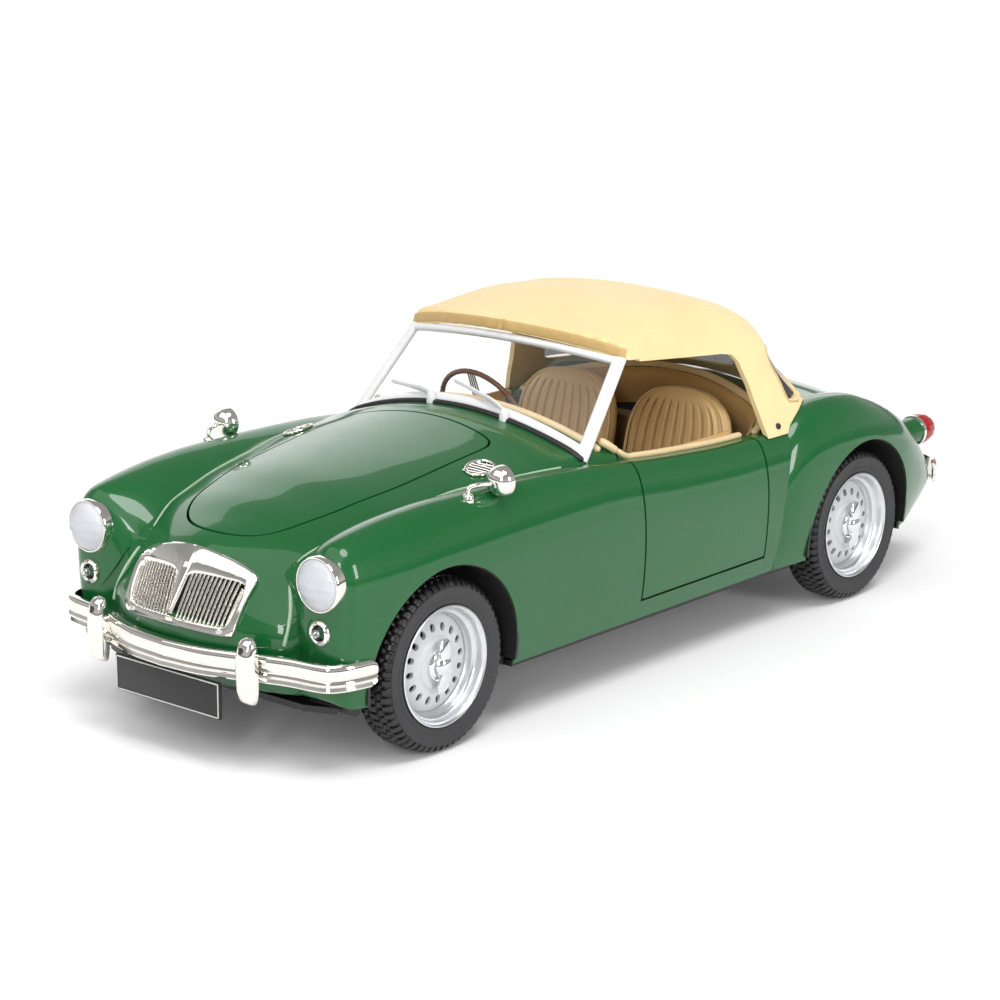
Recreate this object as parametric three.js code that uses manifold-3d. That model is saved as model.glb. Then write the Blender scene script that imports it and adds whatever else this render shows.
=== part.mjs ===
// A 1:18 scale model of an open two-seat sports car of the 1950s, with its soft top up.
// Units are millimetres. The nose faces -Y, the car's left side is +X and the ground is z = 0.
// The origin is on the ground, under the middle of the car's length and width.
import * as THREE from "three";
import Module from "manifold-3d";
import { mergeVertices } from "three/addons/utils/BufferGeometryUtils.js";

const wasm = await Module();
wasm.setup();
const { Manifold, Mesh: SolidMesh } = wasm;

// ---------------------------------------------------------------- driving dimensions
const SKIN = 1.2; // thickness of the cast body panels
const GAP = 0.5; // shut line between a panel and its opening
const CLEAR = 0.3; // clearance between two fitted pieces
const FRONT_AXLE_Y = -73.3;
const REAR_AXLE_Y = 59.4;
const FRONT_WHEEL_X = 33.3; // middle of a front tyre from the centre plane
const REAR_WHEEL_X = 34.1;
const KINGPIN_X = 27.6; // steering axis of a front wheel
const TYRE_R = 16.5;
const RIM_R = 11.2;
const ARCH_R = 19.2;
const LINER_R = 19.9;
const SILL_Z = 12.5; // lower edge of the body sides
const FLOOR_Z = 11; // underside of the base plate
const DOOR_HINGE = [39.0, -15.6]; // x and y of the left door's upright hinge axis
const DOOR_LENGTH = 41.2; // from the hinge axis to the door's rear edge
const DOOR_BOTTOM_Z = 16.6;
const BONNET_HINGE_Y = -36.6;
const BOOT_HINGE_Y = 62;
const BOOT_HINGE_Z = 45.6;
const BOOT_LEAN = 0.43; // how far the boot opening's walls lean back for each unit of height
const WHEEL_HUB = [-13.6, -4, 43.9]; // middle of the steering wheel
const COLUMN_TILT = 0.4; // radians that the steering column rises towards the driver

// A smooth function through [position, value] pairs that never overshoots them: cubic Hermite
// pieces with harmonic mean slopes, and flat outside the ends.
function curve(pairs) {
  const n = pairs.length;
  const step = (i) => pairs[i + 1][0] - pairs[i][0];
  const slope = (i) => (pairs[i + 1][1] - pairs[i][1]) / step(i);
  const tangent = pairs.map((_, i) => {
    if (i === 0) return slope(0);
    if (i === n - 1) return slope(n - 2);
    if (slope(i - 1) * slope(i) <= 0) return 0;
    const before = 2 * step(i) + step(i - 1);
    const after = step(i) + 2 * step(i - 1);
    return (before + after) / (before / slope(i - 1) + after / slope(i));
  });
  return (s) => {
    if (s <= pairs[0][0]) return pairs[0][1];
    if (s >= pairs[n - 1][0]) return pairs[n - 1][1];
    let i = 0;
    while (s > pairs[i + 1][0]) i += 1;
    const h = step(i);
    const t = (s - pairs[i][0]) / h;
    const a = (1 + 2 * t) * (1 - t) ** 2;
    const b = t * (1 - t) ** 2;
    const c = t * t * (3 - 2 * t);
    const d = t * t * (t - 1);
    return a * pairs[i][1] + b * h * tangent[i] + c * pairs[i + 1][1] + d * h * tangent[i + 1];
  };
}

// The smaller of two values, rounded over a width k where they are close.
function roundedMin(a, b, k) {
  const h = Math.max(k - Math.abs(a - b), 0) / k;
  return Math.min(a, b) - (h * h * k) / 4;
}

// A closed geometry from rings of points, each ring a closed loop with the same number of points.
function loft(rings) {
  const points = rings.flat();
  const count = rings[0].length;
  const index = [];
  for (let r = 0; r + 1 < rings.length; r += 1) {
    for (let k = 0; k < count; k += 1) {
      const a = r * count + k;
      const b = r * count + ((k + 1) % count);
      index.push(a, b, b + count, a, b + count, a + count);
    }
  }
  const cap = (ring, start, flip) => {
    const middle = ring.reduce((sum, p) => sum.add(p), new THREE.Vector3()).divideScalar(count);
    points.push(middle);
    for (let k = 0; k < count; k += 1) {
      const a = start + k;
      const b = start + ((k + 1) % count);
      index.push(...(flip ? [points.length - 1, b, a] : [points.length - 1, a, b]));
    }
  };
  cap(rings[0], 0, true);
  cap(rings[rings.length - 1], (rings.length - 1) * count, false);
  return new THREE.BufferGeometry().setFromPoints(points).setIndex(index);
}

// A closed geometry as a solid for joining and cutting, whichever way round it was wound.
function solid(geometry) {
  const bare = new THREE.BufferGeometry();
  bare.setAttribute("position", geometry.getAttribute("position"));
  bare.setIndex(geometry.getIndex());
  const merged = mergeVertices(bare, 1e-4);
  const vertProperties = merged.attributes.position.array;
  const triVerts = new Uint32Array(merged.index.array);
  const made = new Manifold(new SolidMesh({ numProp: 3, vertProperties, triVerts }));
  if (made.volume() > 0) return made;
  for (let i = 0; i < triVerts.length; i += 3) {
    [triVerts[i + 1], triVerts[i + 2]] = [triVerts[i + 2], triVerts[i + 1]];
  }
  return new Manifold(new SolidMesh({ numProp: 3, vertProperties, triVerts }));
}

const mirrored = (made) => made.mirror([1, 0, 0]);
const bothSides = (made) => made.add(mirrored(made));

const range = (from, to, count) =>
  Array.from({ length: count }, (_, i) => from + ((to - from) * i) / (count - 1));

// A geometry turned, moved and made solid.
function placed(geometry, at = [0, 0, 0], turn = [0, 0, 0]) {
  geometry.rotateX(turn[0]);
  geometry.rotateY(turn[1]);
  geometry.rotateZ(turn[2]);
  geometry.translate(...at);
  return solid(geometry);
}

const box = (size, at, turn) => placed(new THREE.BoxGeometry(...size), at, turn);

// A round bar between two points.
function rod(from, to, radius, sides = 12) {
  const a = new THREE.Vector3(...from);
  const b = new THREE.Vector3(...to);
  const geometry = new THREE.CylinderGeometry(radius, radius, a.distanceTo(b), sides);
  const turn = new THREE.Quaternion().setFromUnitVectors(
    new THREE.Vector3(0, 1, 0), b.clone().sub(a).normalize(),
  );
  geometry.applyQuaternion(turn);
  return placed(geometry, a.add(b).multiplyScalar(0.5).toArray());
}

// A flat outline pushed from one height to another along an axis. The outline's two numbers are
// the other two axes in x, y, z order.
function prism(outline, from, to, axis) {
  const shape = new THREE.Shape(outline.map(([a, b]) => new THREE.Vector2(a, b)));
  const geometry = new THREE.ExtrudeGeometry(shape, { depth: to - from, bevelEnabled: false });
  geometry.translate(0, 0, from);
  const X = new THREE.Vector3(1, 0, 0);
  const Y = new THREE.Vector3(0, 1, 0);
  const Z = new THREE.Vector3(0, 0, 1);
  const frames = { x: [Y, Z, X], y: [X, Z, Y], z: [X, Y, Z] };
  geometry.applyMatrix4(new THREE.Matrix4().makeBasis(...frames[axis]));
  return solid(geometry);
}

// A closed profile of [radius, along] pairs turned about an axis through a point.
function turned(profile, segments, at, axis = "x", way = 1) {
  const points = profile.map(([r, s]) => new THREE.Vector2(r, s * way));
  if (profile[0][0] > 0) points.push(points[0].clone());
  const geometry = new THREE.LatheGeometry(points, segments);
  if (axis === "x") geometry.rotateZ(-Math.PI / 2);
  return placed(geometry, at);
}

// An outline on one side of the centre line, given from front to back, closed by its mirror image.
const symmetric = (half) => [
  ...half,
  ...half.filter(([x]) => x > 0).reverse().map(([x, y]) => [-x, y]),
];

// A closed outline moved outwards by a distance.
function grown(outline, distance) {
  const n = outline.length;
  const area = outline.reduce((sum, [x, y], i) => {
    const [u, v] = outline[(i + 1) % n];
    return sum + x * v - u * y;
  }, 0);
  const way = Math.sign(area) * distance;
  const normal = (a, b) => new THREE.Vector2(b[1] - a[1], a[0] - b[0]).normalize();
  return outline.map((p, i) => {
    const before = normal(outline[(i + n - 1) % n], p);
    const after = normal(p, outline[(i + 1) % n]);
    const middle = before.clone().add(after).normalize();
    const stretch = way / Math.max(middle.dot(after), 0.5);
    return [p[0] + middle.x * stretch, p[1] + middle.y * stretch];
  });
}

// Points on an arc in a plane, from one angle to another.
const arc = (middle, radius, from, to, count) =>
  range(from, to, count).map((a) => [middle[0] + radius * Math.cos(a), middle[1] + radius * Math.sin(a)]);

// A closed sheet of a given thickness over a surface point(u, v), centred on the surface.
function sheet(point, us, vs, thickness) {
  const step = 1e-3;
  const layer = (sign) => vs.map((v) => us.map((u) => {
    const p = point(u, v);
    const du = point(u + step, v).sub(p);
    const dv = point(u, v + step).sub(p);
    return p.addScaledVector(du.cross(dv).normalize(), (sign * thickness) / 2);
  }));
  const front = layer(1);
  const back = layer(-1);
  const rings = us.map((_, i) => [
    ...vs.map((__, j) => front[j][i]),
    ...vs.map((__, j) => back[vs.length - 1 - j][i]),
  ]);
  return solid(loft(rings));
}

// ---------------------------------------------------------------- outer shape of the body
// Centre body: nose, bonnet, scuttle, rear deck and tail, between the wings.
const centreTop = curve([
  [-108, 38.4], [-101, 39.3], [-96, 40.4], [-92, 41.6], [-86, 43.9], [-80, 45.4], [-74, 46.8],
  [-62, 48.5], [-50, 50.0], [-38, 51.6], [-33, 52.2], [-26, 52.2], [0, 50.5], [30, 49.4], [42, 48.6],
  [55, 46.8], [70, 43.8], [82, 40.3], [92, 36.0], [100, 31.5], [106, 27.5],
]);
const crown = curve([
  [-108, 0.02], [-99, 0.02], [-95, 0.0125], [-91, 0.0088], [-80, 0.0078], [-62, 0.0064], [-50, 0.0058],
  [-36, 0.0066], [30, 0.006], [60, 0.0062], [90, 0.0085], [106, 0.012],
]);
const noseY = curve([
  [12, -103.4], [17, -105.6], [21, -106.6], [25.5, -106.4], [30, -104.6], [35.3, -101.9], [40, -99.2],
  [44, -96.5],
]);
const noseBow = curve([[12, 0.0118], [24.5, 0.0126], [34.5, 0.0162], [42, 0.02]]);
const tailY = curve([[10, 100.5], [14, 104], [19, 106], [24, 106.2], [30, 104.6], [38, 100]]);
const TAIL_BOW = 0.0105;
const centreHalfWidth = curve([[-108, 24.4], [-92, 24.6], [-80, 26], [-62, 29], [-40, 32], [60, 31], [106, 29]]);

const centreBottomZ = curve([[-108, 14.2], [-98, 13.4], [-94, 12.6], [-90, SILL_Z], [95, SILL_Z], [104, 15]]);

function centreDepth(x, y, z, bottomDrop = 0) {
  const top = centreTop(y) - crown(y) * x * x - z;
  const front = (y - noseY(z) - noseBow(z) * x * x) * 0.88;
  const back = (tailY(z) - TAIL_BOW * x * x - y) * 0.9;
  const side = centreHalfWidth(y) - Math.abs(x);
  const bottom = z - centreBottomZ(y) + bottomDrop;
  let depth = roundedMin(top, front, 5);
  depth = roundedMin(depth, back, 6);
  depth = roundedMin(depth, side, 3);
  return roundedMin(depth, bottom, 2);
}

// The distance from a start point along a direction at which a depth function falls to a level.
function reach(depth, level, start, direction) {
  let near = 0;
  let far = 70;
  const p = new THREE.Vector3();
  for (let i = 0; i < 30; i += 1) {
    const r = (near + far) / 2;
    p.copy(start).addScaledVector(direction, r);
    if (depth(p.x, p.y, p.z) > level) near = r;
    else far = r;
  }
  return near;
}

// Rings of a convex shape at each station, found along rays from the station's middle.
function rayRings(depth, level, stations, middleZ, rays) {
  return stations.map((y) => {
    const start = new THREE.Vector3(0, y, middleZ(y));
    return Array.from({ length: rays }, (_, k) => {
      const a = (k / rays) * Math.PI * 2;
      const way = new THREE.Vector3(Math.sin(a), 0, Math.cos(a));
      return start.clone().addScaledVector(way, reach(depth, level, start, way));
    });
  });
}

// The centre body moved inwards by an inset. A positive inset is a hollow: coarser, and open below.
const HOLLOW_DROP = 8;

function centreSolid(inset) {
  const hollow = inset > 0;
  const front = -106.35 + inset * 1.1;
  const back = 106.05 - inset * 1.1;
  const stations = [
    front, front + 0.6, front + 2, front + 4.2, front + 7.5, front + 12,
    ...range(-86, 86, hollow ? 7 : 11), back - 12, back - 6, back - 2.5, back - 0.8, back,
  ];
  const depth = (x, y, z) => centreDepth(x, y, z, hollow ? HOLLOW_DROP : 0);
  return solid(loft(rayRings(depth, inset, stations, () => 22.5, hollow ? 18 : 26)));
}

// Side body: front wing, door and the side behind it, as one flowing shape.
const seamX = curve([
  [-99, 24.2], [-98, 22.4], [-95, 21.0], [-92, 20.5], [-86, 21.1], [-80, 22.5], [-74, 23.6], [-68, 25.1],
  [-62, 26.3], [-56, 27.6], [-50, 28.4], [-44, 29.2], [-38, 29.9], [-32, 30.6], [0, 31.2], [50, 31],
]);
const seamZ = curve([
  [-99, 28], [-98, 31], [-95, 35.4], [-92, 37.6], [-86, 40.1], [-80, 41.5], [-74, 42.7], [-68, 43.5],
  [-62, 44.3], [-56, 45.0], [-50, 45.2], [-44, 45.4], [-32, 45.2], [-16, 43.9], [0, 42.4], [20, 41.2],
  [50, 41],
]);
const wingCrestX = curve([[-99, 30.2], [-80, 31], [-60, 32], [-40, 33], [-20, 34], [50, 34.2]]);
const wingCrestZ = curve([
  [-100, 42.0], [-94, 43.8], [-86, 45.2], [-79, 46.0], [-69, 46.5], [-59, 46.5], [-48, 46.3],
  [-37, 45.9], [-27, 45.1], [-16, 43.9], [0, 42.4], [20, 41.3], [50, 41],
]);
const sideHalfWidth = curve([
  [-100, 35.6], [-95, 36.7], [-88, 37.9], [-78, 38.7], [-60, 39.0], [-40, 38.9], [0, 38.7], [50, 38.4],
]);
const sideMiddleZ = curve([[-100, 34], [-80, 32], [-40, 30], [0, 28], [50, 28]]);
const sillHalfWidth = curve([[-100, 34.2], [-92, 35.4], [-85, 36.6], [-60, 37.4], [0, 37.2], [50, 37]]);
const sideBottomZ = curve([[-100, 13.6], [-92, 13], [-80, 12.4], [-60, SILL_Z], [50, SILL_Z]]);
const sideInnerX = curve([[-99, 25.2], [-97.6, 23.4], [-96, 20], [-94, 16], [50, 16]]);

const NOSE_EDGE_R = 3.6;
const POD_FRONT_Y = -98.7;

// One ring of a wing: bottom, outer side, shoulder, crest and inner slope.
function wingRing(y, shape, inset) {
  const { innerX, bottomZ, sillX, midX, midZ, crestX, crestZ, seamAtX, seamAtZ, power } = shape;
  const points = [[innerX + inset, bottomZ], [sillX - inset, bottomZ]];
  const outX = midX - inset;
  const topZ = crestZ - inset;
  points.push([outX - (midX - sillX) * 0.25, bottomZ + (midZ - bottomZ) * 0.5]);
  const steps = inset > 0 ? 4 : 6;
  for (let i = 0; i <= steps; i += 1) {
    const a = (i / steps) * (Math.PI / 2);
    const x = crestX + (outX - crestX) * Math.cos(a) ** (2 / power);
    const z = midZ + (topZ - midZ) * Math.sin(a) ** (2 / power);
    points.push([x, z]);
  }
  const drop = Math.min(seamAtZ - inset, topZ);
  for (const t of [0.5, 1]) {
    points.push([crestX + (seamAtX - crestX) * t, topZ - (topZ - drop) * t ** 1.7]);
  }
  points.push([innerX + inset, drop]);
  return points.map(([x, z]) => new THREE.Vector3(x, y, z));
}

// How far an edge of radius r is cut back at a distance d behind the end face.
const edgeInset = (d, r) => (d >= r ? 0 : r - Math.sqrt(r * r - (r - d) ** 2));

function sideSolid(inset) {
  const front = POD_FRONT_Y + inset;
  const stations = [
    ...[0, 0.4, 1.3, 3].map((d) => front + d), -91, -86, ...range(-79, 45, inset > 0 ? 7 : 12),
  ];
  const rings = stations.map((y) => {
    const e = edgeInset(y - front, NOSE_EDGE_R);
    const shape = {
      innerX: sideInnerX(y) + e,
      bottomZ: inset > 0 ? SILL_Z - HOLLOW_DROP : sideBottomZ(y) + e,
      sillX: sillHalfWidth(y) - e,
      midX: sideHalfWidth(y) - e,
      midZ: sideMiddleZ(y),
      crestX: wingCrestX(y),
      crestZ: wingCrestZ(y) - e,
      seamAtX: seamX(y) + e,
      seamAtZ: seamZ(y) - e,
      power: 2.15,
    };
    return wingRing(y, shape, inset);
  });
  return solid(loft(rings));
}

// Rear wing: the haunch over the rear wheel, running back to the tail.
const haunchZ = curve([
  [30, 30], [32, 35.4], [35, 39.9], [39, 43.2], [44, 45.1], [51, 45.8], [59, 45.1], [68, 42.6],
  [75, 39.9], [81, 36.9], [87, 32.9], [93, 28.4], [98, 24.2], [102, 20],
]);
const haunchCrestX = curve([[30, 34.5], [40, 33.6], [60, 32.8], [80, 31], [95, 28], [102, 25]]);
const haunchHalfWidth = curve([
  [30, 38.0], [33, 38.9], [38, 39.9], [46, 40.6], [56, 40.9], [66, 40.6], [76, 39.5], [85, 37.4],
  [92, 34.9], [98, 31.8], [102, 28],
]);
const haunchMiddleZ = curve([[30, 24], [40, 30], [55, 31], [75, 28], [90, 22], [102, 17]]);
const haunchSillX = curve([[30, 37.2], [56, 38.8], [76, 37.6], [90, 33], [102, 25]]);
const haunchBottomZ = curve([[30, SILL_Z], [75, SILL_Z], [90, 13.4], [102, 15.5]]);
const haunchSeamX = curve([[30, 30], [38, 26], [50, 24], [70, 22], [90, 20], [102, 16]]);
const haunchSeamZ = curve([
  [30, 20], [34, 32], [40, 39], [50, 43], [60, 42.4], [70, 40], [82, 35], [92, 28.6], [102, 19],
]);

function haunchSolid(inset) {
  const front = 29.8 + inset;
  const back = 102 - inset * 2;
  const stations = [
    ...[0, 2, 5].map((d) => front + d), ...range(39, 93, inset > 0 ? 7 : 10), back - 5, back - 2, back,
  ];
  const rings = stations.map((y) => {
    const e = edgeInset(back - y, 3.2);
    const shape = {
      innerX: 12 + e,
      bottomZ: inset > 0 ? SILL_Z - HOLLOW_DROP : haunchBottomZ(y) + e * 0.6,
      sillX: haunchSillX(y) - e,
      midX: haunchHalfWidth(y) - e,
      midZ: haunchMiddleZ(y),
      crestX: haunchCrestX(y),
      crestZ: haunchZ(y) - e,
      seamAtX: haunchSeamX(y),
      seamAtZ: haunchSeamZ(y) - e,
      power: 2.1,
    };
    return wingRing(y, shape, inset);
  });
  return solid(loft(rings));
}

// ---------------------------------------------------------------- body shell and its panels
const outer = centreSolid(0).add(bothSides(sideSolid(0))).add(bothSides(haunchSolid(0)));
const inner = centreSolid(SKIN).add(bothSides(sideSolid(SKIN))).add(bothSides(haunchSolid(SKIN)));
const swollen = centreSolid(-CLEAR).add(bothSides(sideSolid(-CLEAR))).add(bothSides(haunchSolid(-CLEAR)));
const skin = outer.subtract(inner);

// Cockpit opening, seen from above.
const cockpitOutline = symmetric([
  [0, -21], [16, -20.2], [26, -18], [31.8, -15], [31.8, 27], [30.6, 31.5], [28.5, 35.2], [24, 38.1],
  [16, 40.8], [8, 42.5], [0, 43],
]);

// Door opening, seen from above: straight at the hinge, round about the hinge axis at the rear.
function doorPrism(gap) {
  const [hingeX, hingeY] = DOOR_HINGE;
  const radius = DOOR_LENGTH + gap;
  const front = hingeY - gap;
  const rear = arc(DOOR_HINGE, radius, Math.acos(6 / radius), Math.acos(-8.5 / radius), 5);
  return prism([[hingeX - 8.5, front], [hingeX + 6, front], ...rear], DOOR_BOTTOM_Z - gap, 60, "z");
}

const bonnetOutline = symmetric([
  [0, -95.7], [5, -95.0], [9.6, -92.6], [13.2, -88.4], [15.5, -82], [18, -70], [18.7, -60], [18.9, -42],
  [18.4, -39.6], [16.5, -37.9], [8, -36.9], [0, BONNET_HINGE_Y],
]);

// Boot lid outline in its own leaning frame: x, and y measured along the lean at hinge height.
const bootOutline = symmetric([
  [0, BOOT_HINGE_Y], [10, BOOT_HINGE_Y + 0.2], [15.5, BOOT_HINGE_Y + 1.4], [17.3, BOOT_HINGE_Y + 4.4],
  [17.6, 80], [16.6, 92], [14.6, 99], [10.5, 102.2], [0, 102.8],
]);

function bootPrism(gap) {
  const lean = new THREE.Matrix4().makeShear(0, 0, 0, 0, 0, BOOT_LEAN);
  const shape = new THREE.Shape(grown(bootOutline, gap).map(([x, y]) => new THREE.Vector2(x, y)));
  const geometry = new THREE.ExtrudeGeometry(shape, { depth: 40, bevelEnabled: false });
  geometry.translate(0, 0, -28);
  geometry.applyMatrix4(lean);
  geometry.translate(0, 0, BOOT_HINGE_Z);
  return solid(geometry);
}

const grilleOutline = symmetric([[0, 26.8], [12.2, 26.1], [13, 27], [13.5, 31], [13.2, 34], [12.2, 34.7], [0, 35.4]]);
const surroundOutline = symmetric([
  [0, 25.1], [7, 24.8], [13.4, 24.3], [14.4, 25.4], [14.9, 29], [15.4, 33.4], [14.8, 35], [11.6, 37], [6, 38.4],
  [0, 38.9],
]);

const wheelPlaces = [
  ["front", FRONT_AXLE_Y, FRONT_WHEEL_X],
  ["rear", REAR_AXLE_Y, REAR_WHEEL_X],
];
const arches = wheelPlaces
  .map(([, y]) => bothSides(rod([21, y, TYRE_R], [48, y, TYRE_R], ARCH_R, 26)))
  .reduce((all, one) => all.add(one));

// A tail lamp's plinth grows out of the rear wing.
const LAMP_X = 28.6;
const LAMP_Z = 29.6;
const plinth = turned(
  [[0, 83.6], [1.6, 86.6], [2.7, 90.4], [3.1, 94.6], [3.1, 98.4], [0, 98.4]], 12, [LAMP_X, 0, LAMP_Z], "y",
);
const plinths = bothSides(plinth).subtract(inner);

function bodyShell() {
  let made = skin.add(plinths).subtract(arches);
  made = made.subtract(prism(cockpitOutline, 34, 70, "z"));
  made = made.subtract(bothSides(doorPrism(GAP)));
  made = made.subtract(prism(grown(bonnetOutline, GAP), 30, 60, "z"));
  made = made.subtract(bootPrism(GAP));
  return made.subtract(prism(grilleOutline, -115, -92, "y"));
}

// ---------------------------------------------------------------- soft top
const roofZ = curve([
  [-16, 66.4], [-12, 67.8], [-6, 69.3], [2, 70.5], [10, 70.9], [18, 70.7], [26, 70], [34, 69.3], [42, 68.4],
]);
const roofCrown = curve([[-14, 0.0021], [-6, 0.0036], [4, 0.0038], [16, 0.0038], [40, 0.0048]]);
const roofShoulder = curve([[-12, 3], [0, 6], [20, 9]]);
const backY = curve([
  [38, 57.4], [42, 56.4], [47, 52.6], [52, 48.7], [58, 46.4], [62, 45.4], [66, 42.3], [70, 35.5],
]);
const backCorner = curve([[42, 8], [60, 11]]);
const headerFrontY = (x) => -14.4 + 0.0056 * x * x;

function hoodDepth(x, y, z) {
  const top = (roofZ(y) - roofCrown(y) * x * x - z) * 0.97;
  const side = (36.1 - (z - 40) * 0.33 - Math.abs(x)) * 0.95;
  const back = (backY(z) - 0.004 * x * x - y) * 0.72;
  const front = y - headerFrontY(x);
  const bottom = z - 34;
  let depth = roundedMin(top, side, roofShoulder(y));
  depth = roundedMin(depth, back, backCorner(z));
  depth = roundedMin(depth, front, 1);
  return roundedMin(depth, bottom, 1);
}

function hoodSolid(inset) {
  const front = -14.3 + inset;
  const back = 56 - inset * 1.2;
  const stations = [front, front + 1.4, -8, 0, 10, 20, 29, 36, 41, 45, 48.5, 52, 54.5, back];
  const middleZ = curve([[30, 52], [42, 50], [50, 44], [56, 38.5]]);
  return solid(loft(rayRings(hoodDepth, inset, stations, middleZ, 26)));
}

// Side window, seen from the side: everything below the cant rail and ahead of the rear quarter.
const sideWindowOutline = [
  [-40, 30], [-40, 63.6], [-12, 63.2], [-8.6, 61.9], [8, 60.3], [20, 59.2], [23.4, 58.6], [25.2, 56.8],
  [26.6, 52], [28.2, 44], [29, 40.6], [29.4, 30],
];
const backWindow = symmetric([[0, 49.6], [12, 49.6], [13.6, 51], [12.6, 58.6], [11, 59.8], [0, 60]]);
// Quarter window at a rear corner, in the plane that faces out through the corner.
const quarterWindow = [[-5, 46.9], [4.4, 46.4], [5.2, 48], [4, 55.6], [2.6, 57], [-4.2, 57], [-5.6, 55.4]];
const QUARTER_TURN = 0.84; // radians from straight back towards the car's left

// The space under the header's curve, where the windscreen stands.
function underHeader() {
  const rings = range(-40, 40, 9).map((x) => {
    const top = 65.9 - 0.0032 * x * x;
    return [[-30, 30], [-6, 30], [-6, top - 0.7], [-30, top + 1.2]].map(([y, z]) => new THREE.Vector3(x, y, z));
  });
  return solid(loft(rings));
}

// The space behind a quarter window's outline, through the hood's corner.
function quarterPrism() {
  const outward = new THREE.Vector3(Math.sin(QUARTER_TURN), Math.cos(QUARTER_TURN), 0);
  const across = new THREE.Vector3(Math.cos(QUARTER_TURN), -Math.sin(QUARTER_TURN), 0);
  const shape = new THREE.Shape(quarterWindow.map(([a, b]) => new THREE.Vector2(a, b)));
  const geometry = new THREE.ExtrudeGeometry(shape, { depth: 24, bevelEnabled: false });
  const place = new THREE.Matrix4().makeBasis(across, new THREE.Vector3(0, 0, 1), outward);
  geometry.applyMatrix4(place.setPosition(19, 33, 0));
  return solid(geometry);
}

const hood = hoodSolid(0).subtract(swollen);
const hoodWindows = prism(backWindow, 30, 70, "y").add(bothSides(quarterPrism()));

function softTop() {
  let made = hood.subtract(hoodSolid(1.1));
  made = made.subtract(prism(sideWindowOutline, -50, 50, "x"));
  made = made.subtract(underHeader());
  return made.subtract(hoodWindows);
}

// One clear sheet wraps round inside the three rear openings.
function rearWindow() {
  const layer = hoodSolid(1.4).subtract(hoodSolid(1.9)).subtract(swollen);
  return layer.intersect(prism([[31.5, 47.6], [60, 47.6], [60, 60.6], [31.5, 60.6]], -40, 40, "x"));
}

// ---------------------------------------------------------------- windscreen
const screenPoint = (u, v) => {
  const low = new THREE.Vector3(31.2 * u, -27.4 + 2.2 * u * u, 52.2 - 7.2 * u * u);
  const high = new THREE.Vector3(28.1 * u, -13.4 + 3.7 * u * u, 64.5 - 2.1 * u * u);
  return low.lerp(high, v);
};
const screenU = range(-1, 1, 9);

function windscreenFrame() {
  const full = sheet(screenPoint, screenU, [-0.02, 0.5, 1.02], 1.6);
  const pane = sheet(screenPoint, range(-0.925, 0.925, 9), [0.14, 0.5, 0.93], 4);
  return full.subtract(pane).subtract(swollen);
}

const windscreenGlass = () => sheet(screenPoint, range(-0.912, 0.912, 9), [0.155, 0.5, 0.915], 0.6);

// A wiper: pivot on the scuttle, arm and blade lying nearly along the screen's lower edge.
function wiper(pivotX) {
  const u = pivotX / 31.2;
  const onScreen = (du, v, lift) => {
    const p = screenPoint(u + du, v);
    return [p.x, p.y - lift, p.z + lift * 0.6];
  };
  const pivot = onScreen(0, 0, 1.9);
  const arm = rod(pivot, onScreen(-0.2, 0.2, 1.7), 0.5, 8);
  const blade = rod(onScreen(-0.08, 0.09, 1.4), onScreen(-0.42, 0.36, 1.4), 0.42, 6);
  const foot = rod([pivot[0], pivot[1], pivot[2] - 2], [pivot[0], pivot[1], pivot[2] + 0.6], 0.9, 8);
  return arm.add(blade).add(foot).subtract(swollen);
}

// ---------------------------------------------------------------- nose, lamps and bumpers
// A layer of the nose surface between two offsets, inside an outline seen from the front.
function noseLayer(near, far, outline) {
  const ring = (level, y) => rayRings(centreDepth, level, [y], () => 22.5, 24)[0];
  const wedge = (level) => solid(loft([-106.35 + level * 1.1, -104.6, -102, -99, -96, -92]
    .map((y) => ring(level, y))));
  return wedge(near).subtract(wedge(far)).intersect(prism(outline, -116, -93, "y"));
}

const grilleSurround = () =>
  noseLayer(-CLEAR - 1.2, -CLEAR - 0.25, surroundOutline)
    .subtract(prism(grown(grilleOutline, -0.4), -116, -90, "y"));

function grilleSlats() {
  const backing = noseLayer(SKIN + CLEAR + 0.2, SKIN + CLEAR + 0.9, grown(grilleOutline, 0.9));
  const opening = noseLayer(-0.2, SKIN + CLEAR + 0.5, grown(grilleOutline, -CLEAR - 0.4));
  const places = range(-12, 12, 9);
  const bars = places.map((x) => box([x === 0 ? 1.4 : 0.6, 30, 20], [x, -104, 31]));
  return backing.add(opening.intersect(bars.reduce((all, one) => all.add(one))));
}

const HEADLAMP = [30.2, POD_FRONT_Y, 36.3];
const headlampBezel = () => turned(
  [[4.7, -0.3], [5.7, -0.3], [5.75, -1.2], [5.2, -2], [4.7, -1.7]], 18, HEADLAMP, "y",
);
const headlampLens = () => turned(
  [[0, -0.3], [4.4, -0.3], [4.4, -1.2], [3.6, -2.1], [2.2, -2.7], [0, -3]], 16, HEADLAMP, "y",
);
const SIDELAMP = [30.2, POD_FRONT_Y, 27.4];
const sidelamp = () => turned(
  [[0, -0.3], [2.5, -0.3], [2.5, -0.9], [2.1, -1.3], [1.6, -2.3], [0, -2.8]], 14, SIDELAMP, "y",
);
const tailLamp = () => turned(
  [[0, 98.7], [3.0, 98.7], [3.0, 99.9], [2.4, 101.6], [1.2, 102.6], [0, 102.9]], 14, [LAMP_X, 0, LAMP_Z], "y",
);

// A bumper blade along half a plan path from the centre to the tip, mirrored to the other side. Its
// section is a shallow channel, and its flanges shorten where it wraps round the corner.
const BUMPER_Z = 20;
const BUMPER_HALF_HEIGHT = 2.6;

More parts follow.
